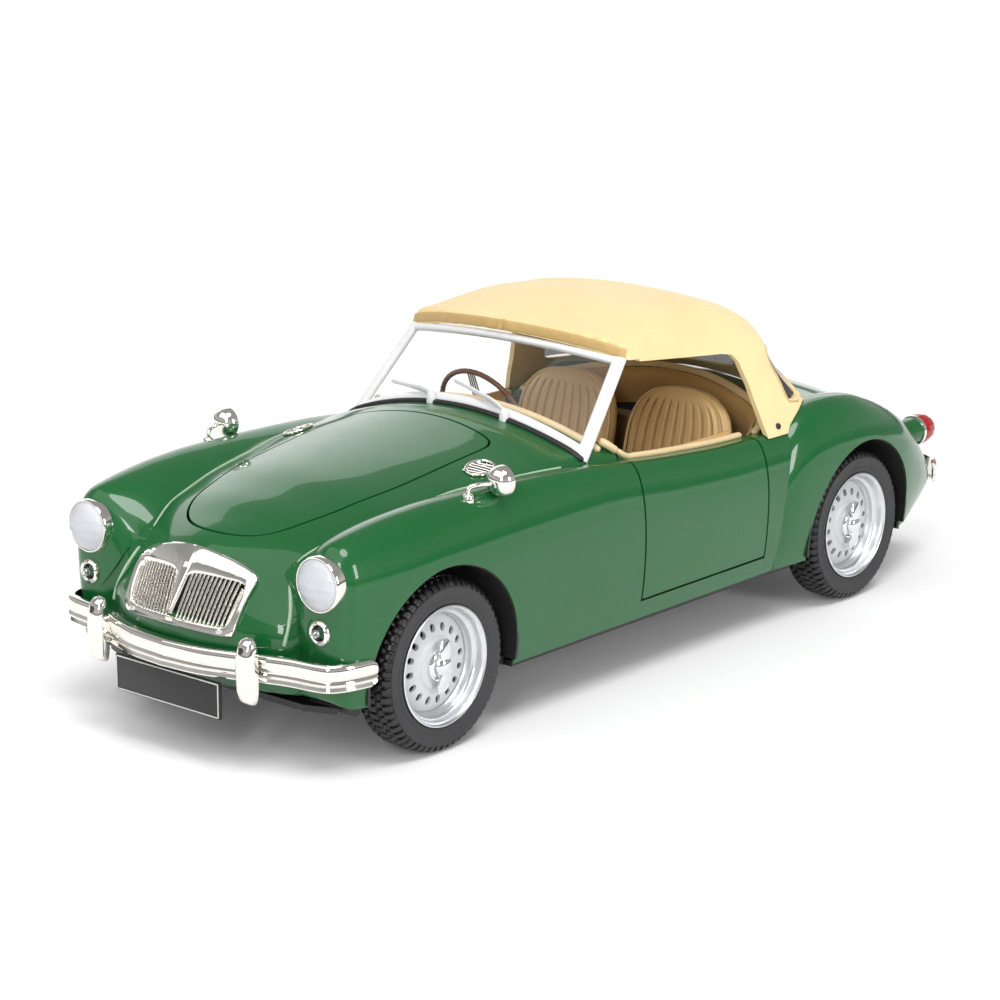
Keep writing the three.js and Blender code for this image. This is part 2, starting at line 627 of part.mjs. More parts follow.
function bumper(halfPath, count) {
  const side = new THREE.CatmullRomCurve3(halfPath.map(([x, y]) => new THREE.Vector3(x, y, 0)));
  const way = Math.sign(halfPath[0][1]);
  const rings = range(-1, 1, count).map((t) => {
    const u = Math.abs(t) ** 0.85;
    const p = side.getPointAt(u);
    const along = side.getTangentAt(u);
    const inward = new THREE.Vector3(-way * along.y, way * along.x, 0).multiplyScalar(-1);
    const flange = 2.2 - 1.35 * u * u;
    const slim = Math.abs(t) > 0.99 ? 0.8 : 1;
    const section = [
      [flange, -1], [0.5, -1], [0, -0.5], [0, 0.5], [0.5, 1], [flange, 1], [0.7, 0.6], [0.7, -0.6],
    ];
    return section.map(([depth, height]) => {
      const q = p.clone().addScaledVector(inward, depth);
      return new THREE.Vector3(t < 0 ? -q.x : q.x, q.y, BUMPER_Z + height * BUMPER_HALF_HEIGHT * slim);
    });
  });
  return solid(loft(rings));
}
const frontBumperPath = [
  [0, -109.6], [8, -108.9], [14, -107.3], [20, -105.1], [26, -103.2], [31.5, -102.3], [34.4, -101.2],
  [36.2, -98.6], [37.2, -95], [37.7, -91.8],
];
const rearBumperPath = [[0, 109.6], [10, 108.9], [20, 107], [27, 104.8], [31, 102.4], [33, 99.6]];

// An upright guard standing just in front of the bumper blade.
function overrider(x, backY) {
  const outline = [[0, -6.2], [-1, -6], [-1.8, -4], [-1.8, 3], [-1, 5.8], [0, 6.4]];
  const shape = outline.map(([d, z]) => [backY + d, BUMPER_Z + z]);
  const cover = [
    [x - 1.4, 13], [x + 1.4, 13], [x + 1.7, 20], [x + 1.2, 25.4], [x, 26.6], [x - 1.2, 25.4], [x - 1.7, 20],
  ];
  return prism(shape, x - 2, x + 2, "x").intersect(prism(cover, backY - 4, backY + 4, "y"));
}

const numberPlate = () => box([27.4, 0.8, 6.3], [0, -107.6, 13.3]);

function mirrorArm() {
  const base = [34.2, -63.6, 47.0];
  const knee = [34.2, -63.4, 47.9];
  const neck = [36.0, -58.9, 48.1];
  const foot = rod([34.2, -63.6, 44], base, 0.9, 10).subtract(swollen);
  const head = turned(
    [[0, 0], [1.3, 0.1], [2.4, 0.9], [2.9, 2.2], [2.9, 3.1], [0, 3.1]], 14, [36.2, -59, 48.1], "y",
  );
  return foot.add(rod([34.2, -63.6, 46.2], knee, 0.5, 8)).add(rod(knee, neck, 0.45, 8)).add(head);
}

// An oval vent lying on the scuttle.
function scuttleVent() {
  const outline = range(0, Math.PI * 1.9, 20).map((a) => [24 + 2.2 * Math.cos(a), -48.6 + 3.3 * Math.sin(a)]);
  return centreSolid(-CLEAR - 0.5).subtract(centreSolid(-CLEAR)).intersect(prism(outline, 40, 60, "z"));
}

// ---------------------------------------------------------------- chassis and interior
// Base plate with a half-round liner over each wheel.
function basePlate() {
  const outline = symmetric([
    [0, -97], [24, -97], [30, -94.5], [22, -94.5], [22, -52.5], [35.4, -52.5], [35.4, 38.6],
    [24, 38.6], [24, 80.4], [33, 80.4], [29, 92], [22, 98.5], [0, 100.6],
  ]);
  const plate = prism(outline, FLOOR_Z, FLOOR_Z + 1.2, "z");
  const liner = (y, from, to) => {
    const outside = arc([y, TYRE_R], LINER_R + 1, Math.PI + 0.26, -0.26, 14);
    const inside = arc([y, TYRE_R], LINER_R, -0.25, Math.PI + 0.25, 14);
    const shell = prism([...outside, ...inside], from, to, "x");
    const wall = prism(arc([y, TYRE_R], LINER_R + 0.5, Math.PI + 0.26, -0.26, 14), from - 1, from + 0.2, "x");
    return shell.add(wall);
  };
  const liners = liner(FRONT_AXLE_Y, 22, 33.8).add(liner(REAR_AXLE_Y, 25, 36.2));
  const beamSlot = box([6, 17, 7.6], [22.5, FRONT_AXLE_Y + 4.8, 16.3]);
  const axleHole = rod([22, REAR_AXLE_Y, TYRE_R], [28, REAR_AXLE_Y, TYRE_R], 1.6, 10);
  return plate.add(bothSides(liners)).subtract(bothSides(beamSlot.add(axleHole)));
}

function cockpitTub() {
  const floor = box([63, 56, 1.2], [0, 8.5, 13.2]);
  const tunnel = prism([[-2, 13], [2, 13], [1.6, 22], [-1.6, 22]], -19, 36, "y");
  const bulkhead = box([44, 1.2, 26.5], [0, -19.5, 26.2]);
  const rearWall = box([48, 1.2, 25], [0, 36.5, 25.4]);
  const shelf = prism(symmetric([[0, 36.2], [23.6, 36.2], [22, 38.6], [12, 40.6], [0, 41.2]]), 36.8, 38, "z");
  const frontPost = bothSides(box([14.6, 1.2, 25.4], [28.7, -19.5, 25.4]));
  const rearPost = bothSides(box([12.6, 1.2, 22.6], [29.6, 35.9, 24.1]));
  const columnHole = rod([WHEEL_HUB[0], -24, columnZ(-24)], [WHEEL_HUB[0], -14, columnZ(-14)], 1.6, 12);
  return floor.add(tunnel).add(bulkhead).add(rearWall).add(shelf).add(frontPost).add(rearPost)
    .subtract(columnHole);
}

const columnZ = (y) => WHEEL_HUB[2] + (y - WHEEL_HUB[1]) * Math.tan(COLUMN_TILT);

const dashboard = () => centreSolid(SKIN + CLEAR).intersect(box([58, 2.6, 16], [0, -21.4, 49.2]));

// A bucket seat: cushion and back in one, rounded at the top.
function seat(x) {
  const side = [
    [2.5, 15], [24, 15], [29.4, 44.6], [29.2, 47.6], [27.6, 48.6], [26, 47.4], [20.8, 25.8], [6, 26.6],
    [3, 25.4], [2.2, 22],
  ];
  const front = [
    [-11.6, 14], [11.6, 14], [12.6, 30], [12.8, 38], [11.4, 43.4], [7.6, 47.2], [0, 48.8], [-7.6, 47.2],
    [-11.4, 43.4], [-12.8, 38], [-12.6, 30],
  ];
  return prism(side, x - 14, x + 14, "x").intersect(prism(front.map(([a, b]) => [a + x, b]), 0, 40, "y"));
}

function engineBlock() {
  const block = box([13, 22, 15], [0, -52, 22.5]);
  const head = box([8, 21, 6], [1, -52, 33]);
  const rocker = prism([[-1.5, 35], [3.5, 35], [3, 38.4], [-1, 38.4]], -61, -43, "y");
  const airBox = rod([6, -58, 31], [6, -44, 31], 2.4, 12);
  return block.add(head).add(rocker).add(airBox);
}

function exhaustPipe() {
  const points = [[7, -40, 9.6], [9, -20, 9.5], [9, 40, 9.5], [15, 70, 9.2], [15, 99, 8.8]];
  const path = new THREE.CatmullRomCurve3(points.map((p) => new THREE.Vector3(...p)));
  const ring = new THREE.Shape(arc([0, 0], 1.1, 0, Math.PI * 1.75, 8).map(([a, b]) => new THREE.Vector2(a, b)));
  const pipe = solid(new THREE.ExtrudeGeometry(ring, { steps: 16, bevelEnabled: false, extrudePath: path }));
  const silencer = rod([9, -4, 9], [9, 22, 9], 1.7, 12);
  return pipe.add(silencer);
}

const baseScrew = (y) => rod([0, y, FLOOR_Z - 0.9], [0, y, FLOOR_Z - CLEAR], 2, 16);

// ---------------------------------------------------------------- wheels and steering
// Profiles run outwards along the axle, as [radius, distance from the tyre's middle plane].
const tyreProfile = [
  [11.5, -3.2], [11.5, 3.2], [12.8, 4.1], [14.8, 4.2], [16, 3.4], [TYRE_R, 2.2], [TYRE_R, -2.2],
  [16, -3.4], [14.8, -4.2], [12.8, -4.1],
];
const rimProfile = [
  [0, 0.6], [1.2, 0.6], [1.2, -2.2], [2.6, -2.2], [2.6, 0.2], [9.6, 0], [10.2, -3.5], [RIM_R, -3.5],
  [RIM_R, 3], [10.5, 3], [9.7, 1.3], [4.4, 1.7], [3, 2.2], [0, 2.2],
];
const spinnerProfile = [[0, 2.5], [2.3, 2.5], [2.3, 3.3], [1.6, 4.2], [0, 4.6]];

function spinner(x, y, way) {
  const at = [x, y, TYRE_R];
  const ears = box([1.1, 1.5, 8.4], [x + way * 3.1, y, TYRE_R]);
  return turned(spinnerProfile, 14, at, "x", way).add(ears);
}

const SPINDLE_R = 0.8;
function knuckle() {
  const upright = box([2.4, 3.6, 8.4], [KINGPIN_X, FRONT_AXLE_Y, TYRE_R]);
  const spindle = rod([KINGPIN_X, FRONT_AXLE_Y, TYRE_R], [FRONT_WHEEL_X + 0.3, FRONT_AXLE_Y, TYRE_R], SPINDLE_R);
  const armBar = box([1.4, 9.4, 1.2], [KINGPIN_X - 0.3, FRONT_AXLE_Y + 4.7, 14.2]);
  return upright.add(spindle).add(armBar);
}

const TIE_ROD_Y = FRONT_AXLE_Y + 10.6;
const tieRod = () => rod([-26.6, TIE_ROD_Y, 14.2], [26.6, TIE_ROD_Y, 14.2], 0.7, 8);

function frontBeam() {
  const beam = box([44, 3, 3], [0, FRONT_AXLE_Y, TYRE_R + 0.2]);
  const pockets = bothSides(box([4.6, 3, 1.4], [23.6, FRONT_AXLE_Y, TYRE_R + 0.2]));
  return beam.add(pockets);
}

const rearAxle = () => rod(
  [-REAR_WHEEL_X - 0.3, REAR_AXLE_Y, TYRE_R], [REAR_WHEEL_X + 0.3, REAR_AXLE_Y, TYRE_R], SPINDLE_R,
).add(placed(new THREE.SphereGeometry(4, 12, 8), [0, REAR_AXLE_Y, TYRE_R]));

function steeringWheel() {
  const rim = new THREE.TorusGeometry(10.9, 0.6, 6, 22);
  const spokes = [-0.1, Math.PI + 0.1, -Math.PI / 2].map((a) => {
    const spoke = new THREE.BoxGeometry(10.4, 1.1, 0.5);
    spoke.translate(5.4, 0, 0);
    spoke.rotateZ(a);
    return solid(spoke);
  });
  const hub = new THREE.CylinderGeometry(1.9, 1.5, 1.6, 14);
  hub.rotateX(Math.PI / 2);
  const flat = spokes.reduce((all, one) => all.add(one), solid(rim).add(solid(hub)));
  return flat.rotate([90 - (COLUMN_TILT * 180) / Math.PI, 0, 180]).translate(WHEEL_HUB);
}

const steeringColumn = () => rod(
  [WHEEL_HUB[0], WHEEL_HUB[1] - 1.3, columnZ(WHEEL_HUB[1] - 1.3)], [WHEEL_HUB[0], -34, columnZ(-34)], 0.9, 12,
);

// ---------------------------------------------------------------- assembly
const GREEN = 0x0f4f26;
const CHROME = 0xc9ccd0;
const CREAM = 0xe9cf96;
const TAN = 0xb98a4f;
const BLACK = 0x141416;
const RUBBER = 0x1d1d1f;
const SILVER = 0xb4b8bb;
const LENS = 0xdfe6ea;
const RED = 0x8f1010;

const car = new THREE.Group();

function addPart(name, made, colour, roughness, metalness) {
  const { numProp, vertProperties, triVerts } = made.getMesh();
  const indexed = new THREE.BufferGeometry();
  indexed.setAttribute("position", new THREE.BufferAttribute(new Float32Array(vertProperties), numProp));
  indexed.setIndex(new THREE.BufferAttribute(new Uint32Array(triVerts), 1));
  const geometry = indexed.toNonIndexed();
  geometry.computeVertexNormals();
  const material = new THREE.MeshStandardMaterial({ color: colour, roughness, metalness });
  const mesh = new THREE.Mesh(geometry, material);
  mesh.name = name;
  car.add(mesh);
}

// The same piece on the car's left and, mirrored, on its right.
function addPair(name, made, colour, roughness, metalness) {
  addPart(`${name}_left`, made, colour, roughness, metalness);
  addPart(`${name}_right`, mirrored(made), colour, roughness, metalness);
}

addPart("body_shell", bodyShell(), GREEN, 0.2, 0.1);
addPart("bonnet", skin.intersect(prism(bonnetOutline, 30, 60, "z")), GREEN, 0.2, 0.1);
addPart("boot_lid", skin.intersect(bootPrism(0)), GREEN, 0.2, 0.1);
addPair("door", skin.intersect(doorPrism(0)).subtract(prism(cockpitOutline, 34, 70, "z")), GREEN, 0.2, 0.1);
addPair("door_trim", box([0.9, 36.4, 25], [30.3, 4.4, 30.2]), CREAM, 0.6, 0);
addPart("soft_top", softTop(), CREAM, 0.85, 0);
addPart("rear_window", rearWindow(), LENS, 0.1, 0);
addPart("windscreen_frame", windscreenFrame(), CHROME, 0.15, 0.9);
addPart("windscreen_glass", windscreenGlass(), LENS, 0.05, 0);
addPart("wiper_left", wiper(12.4), SILVER, 0.4, 0.3);
addPart("wiper_right", wiper(-6), SILVER, 0.4, 0.3);
addPart("grille_surround", grilleSurround(), CHROME, 0.12, 0.95);
addPart("grille_slats", grilleSlats(), CHROME, 0.2, 0.9);
addPair("headlamp_bezel", headlampBezel(), CHROME, 0.1, 0.95);
addPair("headlamp_lens", headlampLens(), LENS, 0.1, 0);
addPair("sidelamp", sidelamp(), LENS, 0.2, 0);
addPair("tail_lamp", tailLamp(), RED, 0.15, 0);
addPart("front_bumper", bumper(frontBumperPath, 19), CHROME, 0.1, 0.95);
addPair("front_overrider", overrider(19.6, -105.9), CHROME, 0.1, 0.95);
addPart("rear_bumper", bumper(rearBumperPath, 13), CHROME, 0.1, 0.95);
addPart("number_plate", numberPlate(), BLACK, 0.4, 0);
addPair("wing_mirror", mirrorArm(), CHROME, 0.1, 0.95);
addPair("scuttle_vent", scuttleVent(), CHROME, 0.2, 0.9);
addPart("base_plate", basePlate(), BLACK, 0.7, 0);
addPart("cockpit_tub", cockpitTub(), TAN, 0.8, 0);
addPart("dashboard", dashboard(), TAN, 0.7, 0);
addPart("seat_left", seat(15.2), TAN, 0.6, 0);
addPart("seat_right", seat(-15.2), TAN, 0.6, 0);
addPart("engine_block", engineBlock(), 0x5a1f18, 0.5, 0.2);
addPart("exhaust_pipe", exhaustPipe(), SILVER, 0.4, 0.8);
addPart("base_screw_front", baseScrew(-62), SILVER, 0.3, 0.9);
addPart("base_screw_rear", baseScrew(86), SILVER, 0.3, 0.9);
addPart("front_beam", frontBeam(), BLACK, 0.6, 0.2);
addPair("steering_knuckle", knuckle(), BLACK, 0.5, 0.3);
addPart("tie_rod", tieRod(), SILVER, 0.4, 0.8);
addPart("steering_column", steeringColumn(), BLACK, 0.4, 0.3);
addPart("steering_wheel", steeringWheel(), 0x6b3a1e, 0.4, 0);
addPart("rear_axle", rearAxle(), SILVER, 0.4, 0.8);
for (const [end, y, x] of wheelPlaces) {
  for (const [side, way] of [["left", 1], ["right", -1]]) {
    const at = [x * way, y, TYRE_R];
    addPart(`tyre_${end}_${side}`, turned(tyreProfile, 20, at, "x", way), RUBBER, 0.8, 0);
    addPart(`rim_${end}_${side}`, turned(rimProfile, 14, at, "x", way), SILVER, 0.3, 0.8);
    addPart(`spinner_${end}_${side}`, spinner(x * way, y, way), CHROME, 0.1, 0.95);
  }
}

export default car;
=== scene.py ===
"""The looks of a 1:18 model of a 1950s open sports car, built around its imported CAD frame.

Shapes are worked out in millimetres in the CAD frame (nose to -Y, the car's left to +X, +Z up) and
become metres when a mesh is made. The body's painted panels are fine versions of the CAD surfaces,
cut along the same shut lines, and shaded with the normals of the surfaces before they were cut.
"""
import math

import bmesh
import bpy
import numpy as np
from mathutils import Matrix, Vector
from mathutils.bvhtree import BVHTree


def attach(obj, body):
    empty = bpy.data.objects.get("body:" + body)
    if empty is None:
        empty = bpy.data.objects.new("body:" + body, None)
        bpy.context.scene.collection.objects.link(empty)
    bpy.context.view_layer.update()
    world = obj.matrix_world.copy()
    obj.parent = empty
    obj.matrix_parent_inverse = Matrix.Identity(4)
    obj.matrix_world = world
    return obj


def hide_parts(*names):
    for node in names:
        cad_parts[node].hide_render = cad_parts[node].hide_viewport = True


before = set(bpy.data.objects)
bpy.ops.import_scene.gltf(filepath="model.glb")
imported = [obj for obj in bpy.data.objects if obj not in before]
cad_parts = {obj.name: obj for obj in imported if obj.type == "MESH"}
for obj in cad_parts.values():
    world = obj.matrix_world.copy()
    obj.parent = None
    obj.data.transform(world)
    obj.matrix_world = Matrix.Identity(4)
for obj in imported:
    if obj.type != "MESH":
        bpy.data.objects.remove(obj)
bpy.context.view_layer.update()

MM = 0.001
SKIN, GAP, CLEAR = 1.2, 0.5, 0.3
FRONT_AXLE_Y, REAR_AXLE_Y, FRONT_WHEEL_X, REAR_WHEEL_X = -73.3, 59.4, 33.3, 34.1
TYRE_R, ARCH_R, SILL_Z = 16.5, 19.2, 12.5
DOOR_HINGE, DOOR_LENGTH, DOOR_BOTTOM_Z = (39.0, -15.6), 41.2, 16.6
WHEEL_HUB, COLUMN_TILT = np.array([-13.6, -4.0, 43.9]), 0.4
HEADLAMP, SIDELAMP = np.array([30.2, -98.7, 36.3]), np.array([30.2, -98.7, 27.4])
TAIL_LAMP_X, TAIL_LAMP_Z = 28.6, 29.6
BUMPER_Z, OVERRIDER_X, OVERRIDER_HOLE_Z = 20.0, 19.6, 24.0
VENT_X, VENT_Y, VENT_HALF_WIDTH, VENT_HALF_LENGTH = 24, -48.6, 2.2, 3.3
TREAD_LUGS, WHEEL_SLOTS = 60, 16
SIDES = (("left", 1), ("right", -1))
PI = math.pi


# ---------------------------------------------------------------- curves and closed surfaces
def curve(*pairs):
    """A smooth function through (position, value) pairs that never overshoots them."""
    xs, ys = np.array(pairs, float).T
    h = np.diff(xs)
    d = np.diff(ys) / h
    m = np.concatenate([[d[0]], np.zeros(len(h) - 1), [d[-1]]])
    for i in range(1, len(h)):
        if d[i - 1] * d[i] > 0:
            before, after = 2 * h[i] + h[i - 1], h[i] + 2 * h[i - 1]
            m[i] = (before + after) / (before / d[i - 1] + after / d[i])

    def value(s):
        s = np.clip(s, xs[0], xs[-1])
        i = np.clip(np.searchsorted(xs, s, side="right") - 1, 0, len(h) - 1)
        t = (s - xs[i]) / h[i]
        rise = t * t * (3 - 2 * t)
        return (ys[i] * (1 - rise) + ys[i + 1] * rise
                + h[i] * (m[i] * t * (1 - t) ** 2 + m[i + 1] * t * t * (t - 1)))
    return value


def rounded_min(a, b, k):
    h = np.maximum(k - np.abs(a - b), 0) / k
    return np.minimum(a, b) - h * h * k / 4


def ray_rings(depth, level, stations, middle_z, rays):
    """Rings where a depth function falls to a level, found along rays from each station's middle."""
    y = np.asarray(stations, float)[:, None]
    a = (np.arange(rays) / rays * 2 * PI)[None, :]
    z0 = np.broadcast_to(middle_z(y), y.shape)
    near, far = np.zeros((len(y), rays)), np.full((len(y), rays), 70.0)
    for _ in range(34):
        r = (near + far) / 2
        inside = depth(np.sin(a) * r, y + 0 * r, z0 + np.cos(a) * r) > level
        near, far = np.where(inside, r, near), np.where(inside, far, r)
    return np.stack([np.sin(a) * near, y + 0 * near, z0 + np.cos(a) * near], 2)


def loft_data(rings, cap=True):
    """Vertices and faces of a closed loft over rings of points."""
    rings = np.asarray(rings, float)
    s, k = rings.shape[:2]
    verts = rings.reshape(-1, 3)
    faces = []
    for r in range(s - 1):
        for i in range(k):
            j = (i + 1) % k
            faces.append((r * k + i, r * k + j, (r + 1) * k + j, (r + 1) * k + i))
    if cap:
        verts = np.vstack([verts, rings[0].mean(0), rings[-1].mean(0)])
        for i in range(k):
            j = (i + 1) % k
            faces.append((s * k, j, i))
            faces.append((s * k + 1, (s - 1) * k + i, (s - 1) * k + j))
    return verts, faces


def mesh_object(name, verts, faces):
    """A mesh object from millimetre vertices, with merged doubles and its faces turned outwards."""
    data = bpy.data.meshes.new(name)
    data.from_pydata((np.asarray(verts, float) * MM).tolist(), [], [tuple(map(int, f)) for f in faces])
    bm = bmesh.new()
    bm.from_mesh(data)
    bmesh.ops.remove_doubles(bm, verts=bm.verts, dist=2e-6)
    bmesh.ops.dissolve_degenerate(bm, edges=bm.edges, dist=1e-6)
    bmesh.ops.recalc_face_normals(bm, faces=bm.faces)
    if bm.calc_volume(signed=True) < 0:
        bmesh.ops.reverse_faces(bm, faces=bm.faces)
    bm.to_mesh(data)
    bm.free()
    obj = bpy.data.objects.new(name, data)
    bpy.context.scene.collection.objects.link(obj)
    return obj


def loft(name, rings, cap=True):
    return mesh_object(name, *loft_data(rings, cap))


def mirrored(points):
    return np.asarray(points, float) * [-1, 1, 1]


def both_sides(name, rings):
    """One object holding a loft and its mirror image."""
    a, f = loft_data(rings)
    b, g = loft_data(mirrored(rings))
    return mesh_object(name, np.vstack([a, b]), f + [tuple(i + len(a) for i in q) for q in g])


def prism(name, outline, low, high, axis="z", matrix=None):
    """A flat outline pushed along an axis. Its two numbers are the other axes in x, y, z order."""
    rows = {"x": lambda a, b, c: (c, a, b),
            "y": lambda a, b, c: (a, c, b),
            "z": lambda a, b, c: (a, b, c)}[axis]
    n = len(outline)
    verts = np.array([rows(a, b, c) for c in (low, high) for a, b in outline], float)
    if matrix is not None:
        verts = verts @ np.asarray(matrix)[:3, :3].T + np.asarray(matrix)[:3, 3]
    faces = [tuple(range(n)), tuple(range(2 * n - 1, n - 1, -1))]
    faces += [(i, (i + 1) % n, (i + 1) % n + n, i + n) for i in range(n)]
    return mesh_object(name, verts, faces)


def boolean(obj, other, operation="DIFFERENCE", keep=False):
    """Cuts, joins or intersects two closed meshes, and leaves the result in the first."""
    for o in (obj, other):
        bm = bmesh.new()
        bm.from_mesh(o.data)
        bmesh.ops.triangulate(bm, faces=bm.faces)
        bm.to_mesh(o.data)
        bm.free()
    step = obj.modifiers.new("cut", "BOOLEAN")
    step.solver, step.operation, step.object = "MANIFOLD", operation, other
    evaluated = obj.evaluated_get(bpy.context.evaluated_depsgraph_get())
    data = bpy.data.meshes.new_from_object(evaluated)
    obj.modifiers.clear()
    obj.data = data
    if not keep:
        bpy.data.objects.remove(other)
    return obj


def copy_of(obj, name):
    twin = bpy.data.objects.new(name, obj.data.copy())
    bpy.context.scene.collection.objects.link(twin)
    return twin


def grown(outline, distance):
    """A closed outline moved outwards by a distance."""
    p = np.asarray(outline, float)
    following = np.roll(p, -1, 0)
    area = (p[:, 0] * following[:, 1] - following[:, 0] * p[:, 1]).sum()
    side = following - p
    normal = np.stack([side[:, 1], -side[:, 0]], 1) / np.linalg.norm(side, axis=1)[:, None]
    middle = normal + np.roll(normal, 1, 0)
    middle /= np.linalg.norm(middle, axis=1)[:, None]
    stretch = math.copysign(distance, area * distance) * math.copysign(1, distance)
    return p + middle * (stretch / np.maximum((middle * normal).sum(1), 0.5))[:, None]


def symmetric(*half):
    return list(half) + [(-x, y) for x, y in reversed(half) if x > 0]


def rounded(outline, steps=3):
    """A closed outline with its corners eased by repeated corner cutting."""
    p = np.asarray(outline, float)
    for _ in range(steps):
        q = np.roll(p, -1, 0)
        p = np.stack([p * 0.75 + q * 0.25, p * 0.25 + q * 0.75], 1).reshape(-1, 2)
    return p


def arc(middle, radius, start, end, count):
    a = np.linspace(start, end, count)
    return np.stack([middle[0] + radius * np.cos(a), middle[1] + radius * np.sin(a)], 1)


def spline(points, count):
    """Points evenly spread along a smooth curve through the given ones."""
    p = np.asarray(points, float)
    ends = np.vstack([2 * p[0] - p[1], p, 2 * p[-1] - p[-2]])
    out = []
    for i in range(len(p) - 1):
        a, b, c, d = ends[i:i + 4]
        for t in np.linspace(0, 1, 24, endpoint=False):
            out.append(0.5 * (2 * b + (c - a) * t + (2 * a - 5 * b + 4 * c - d) * t * t
                              + (3 * b - a - 3 * c + d) * t ** 3))
    out = np.array(out + [p[-1]])
    run = np.concatenate([[0], np.cumsum(np.linalg.norm(np.diff(out, axis=0), axis=1))])
    at = np.linspace(0, run[-1], count)
    return np.stack([np.interp(at, run, out[:, i]) for i in range(p.shape[1])], 1)


def sweep_rings(path, section, up=(0, 0, 1), closed=False):
    """Rings of a section carried along a path. The section is (sideways, up) pairs, or one list per point."""
    path = np.asarray(path, float)
    along = np.roll(path, -1, 0) - np.roll(path, 1, 0) if closed else np.gradient(path, axis=0)
    along /= np.linalg.norm(along, axis=1)[:, None]
    up = np.broadcast_to(np.asarray(up, float), path.shape)
    side = np.cross(along, up)
    side /= np.linalg.norm(side, axis=1)[:, None]
    top = np.cross(side, along)
    section = np.asarray(section, float)
    if section.ndim == 2:
        section = np.broadcast_to(section, (len(path),) + section.shape)
    rings = path[:, None] + section[:, :, :1] * side[:, None] + section[:, :, 1:] * top[:, None]
    return np.concatenate([rings, rings[:1]]) if closed else rings


def circle(radius, sides=10, squash=1.0):
    a = np.arange(sides) / sides * 2 * PI
    return np.stack([radius * np.cos(a), radius * squash * np.sin(a)], 1)


def tube(name, path, radius, sides=10, up=(0, 0, 1), closed=False, squash=1.0):
    """A round bar along a path, with domed ends when it is open."""
    path = np.asarray(path, float)
    size = np.ones(len(path))
    if not closed:
        first, last = path[0], path[-1]
        a = (path[0] - path[1]) / np.linalg.norm(path[0] - path[1]) * radius
        b = (path[-1] - path[-2]) / np.linalg.norm(path[-1] - path[-2]) * radius
        path = np.vstack([first + a * 0.9, first + a * 0.6, path, last + b * 0.6, last + b * 0.9])
        size = np.concatenate([[0.35, 0.8], size, [0.8, 0.35]])
    section = circle(radius, sides, squash)[None] * size[:, None, None]
    return loft(name, sweep_rings(path, section, up, closed), not closed)


def turned(name, profile, segments, at, axis="x", way=1, bump=None):
    """A closed profile of (radius, along) pairs turned about an axis.

    bump(angle, radius, along) adds to the radius.
    """
    profile = np.asarray(profile, float)
    a = np.arange(segments) / segments * 2 * PI
    r = np.broadcast_to(profile[None, :, 0], (segments, len(profile)))
    s = np.broadcast_to(profile[None, :, 1], r.shape)
    if bump is not None:
        r = r + bump(a[:, None] + 0 * r, r, s)
    u, v = r * np.cos(a)[:, None], r * np.sin(a)[:, None]
    parts = {"x": (s * way, u, v), "y": (u, s * way, v), "z": (u, v, s * way)}[axis]
    rings = np.stack(parts, 2) + np.asarray(at, float)
    return loft(name, np.concatenate([rings, rings[:1]]), False)


def joined(name, *objects):
    """Several objects as one, keeping each one's materials."""
    with bpy.context.temp_override(active_object=objects[0], selected_editable_objects=list(objects)):
        bpy.ops.object.join()
    objects[0].name = name
    return objects[0]


def shade(obj, degrees=35):
    for polygon in obj.data.polygons:
        polygon.use_smooth = True
    obj.data.set_sharp_from_angle(angle=math.radians(degrees))
    return obj


def bevelled(obj, width, segments=2, degrees=35):
    """Rounds an object's sharp edges."""
    step = obj.modifiers.new("round", "BEVEL")
    step.width, step.segments, step.limit_method = width * MM, segments, "ANGLE"
    step.angle_limit = math.radians(degrees)
    step.harden_normals = False
    data = bpy.data.meshes.new_from_object(obj.evaluated_get(bpy.context.evaluated_depsgraph_get()))
    obj.modifiers.clear()
    obj.data = data
    return shade(obj, 40)


def block(name, size, at, radius, turn=None):
    """A box with rounded edges."""
    x, y, z = (np.array(size) / 2).tolist()
    obj = prism(name, [(-x, -y), (x, -y), (x, y), (-x, y)], -z, z)
    bevelled(obj, radius, 3)
    move = Matrix.Translation(Vector(at) * MM) @ (turn if turn is not None else Matrix())
    obj.data.transform(move)
    return obj


def place(obj, body, material, stands_for=()):
    """Gives a finished piece its material, the body it rides on and the CAD nodes it stands for."""
    if material is not None:
        obj.data.materials.clear()
        obj.data.materials.append(material)
    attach(obj, body)
    if stands_for:
        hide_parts(*stands_for)
    return obj


# ---------------------------------------------------------------- materials
def material(name, colour, rough=0.5, metal=0.0, coat=0.0, sheen=0.0, specular=0.5):
    """A new node material, and the parts of it that the calls below build on."""
    mat = bpy.data.materials.new(name)
    mat.use_nodes = True
    nodes, links = mat.node_tree.nodes, mat.node_tree.links
    shader = nodes["Principled BSDF"]
    shader.inputs["Base Color"].default_value = (*colour, 1)
    shader.inputs["Roughness"].default_value = rough
    shader.inputs["Metallic"].default_value = metal
    shader.inputs["Coat Weight"].default_value = coat
    shader.inputs["Coat Roughness"].default_value = 0.04
    shader.inputs["Sheen Weight"].default_value = sheen
    shader.inputs["Specular IOR Level"].default_value = specular
    where = nodes.new("ShaderNodeTexCoord").outputs["Object"]
    return {"mat": mat, "nodes": nodes, "links": links, "shader": shader, "where": where, "colour": colour}


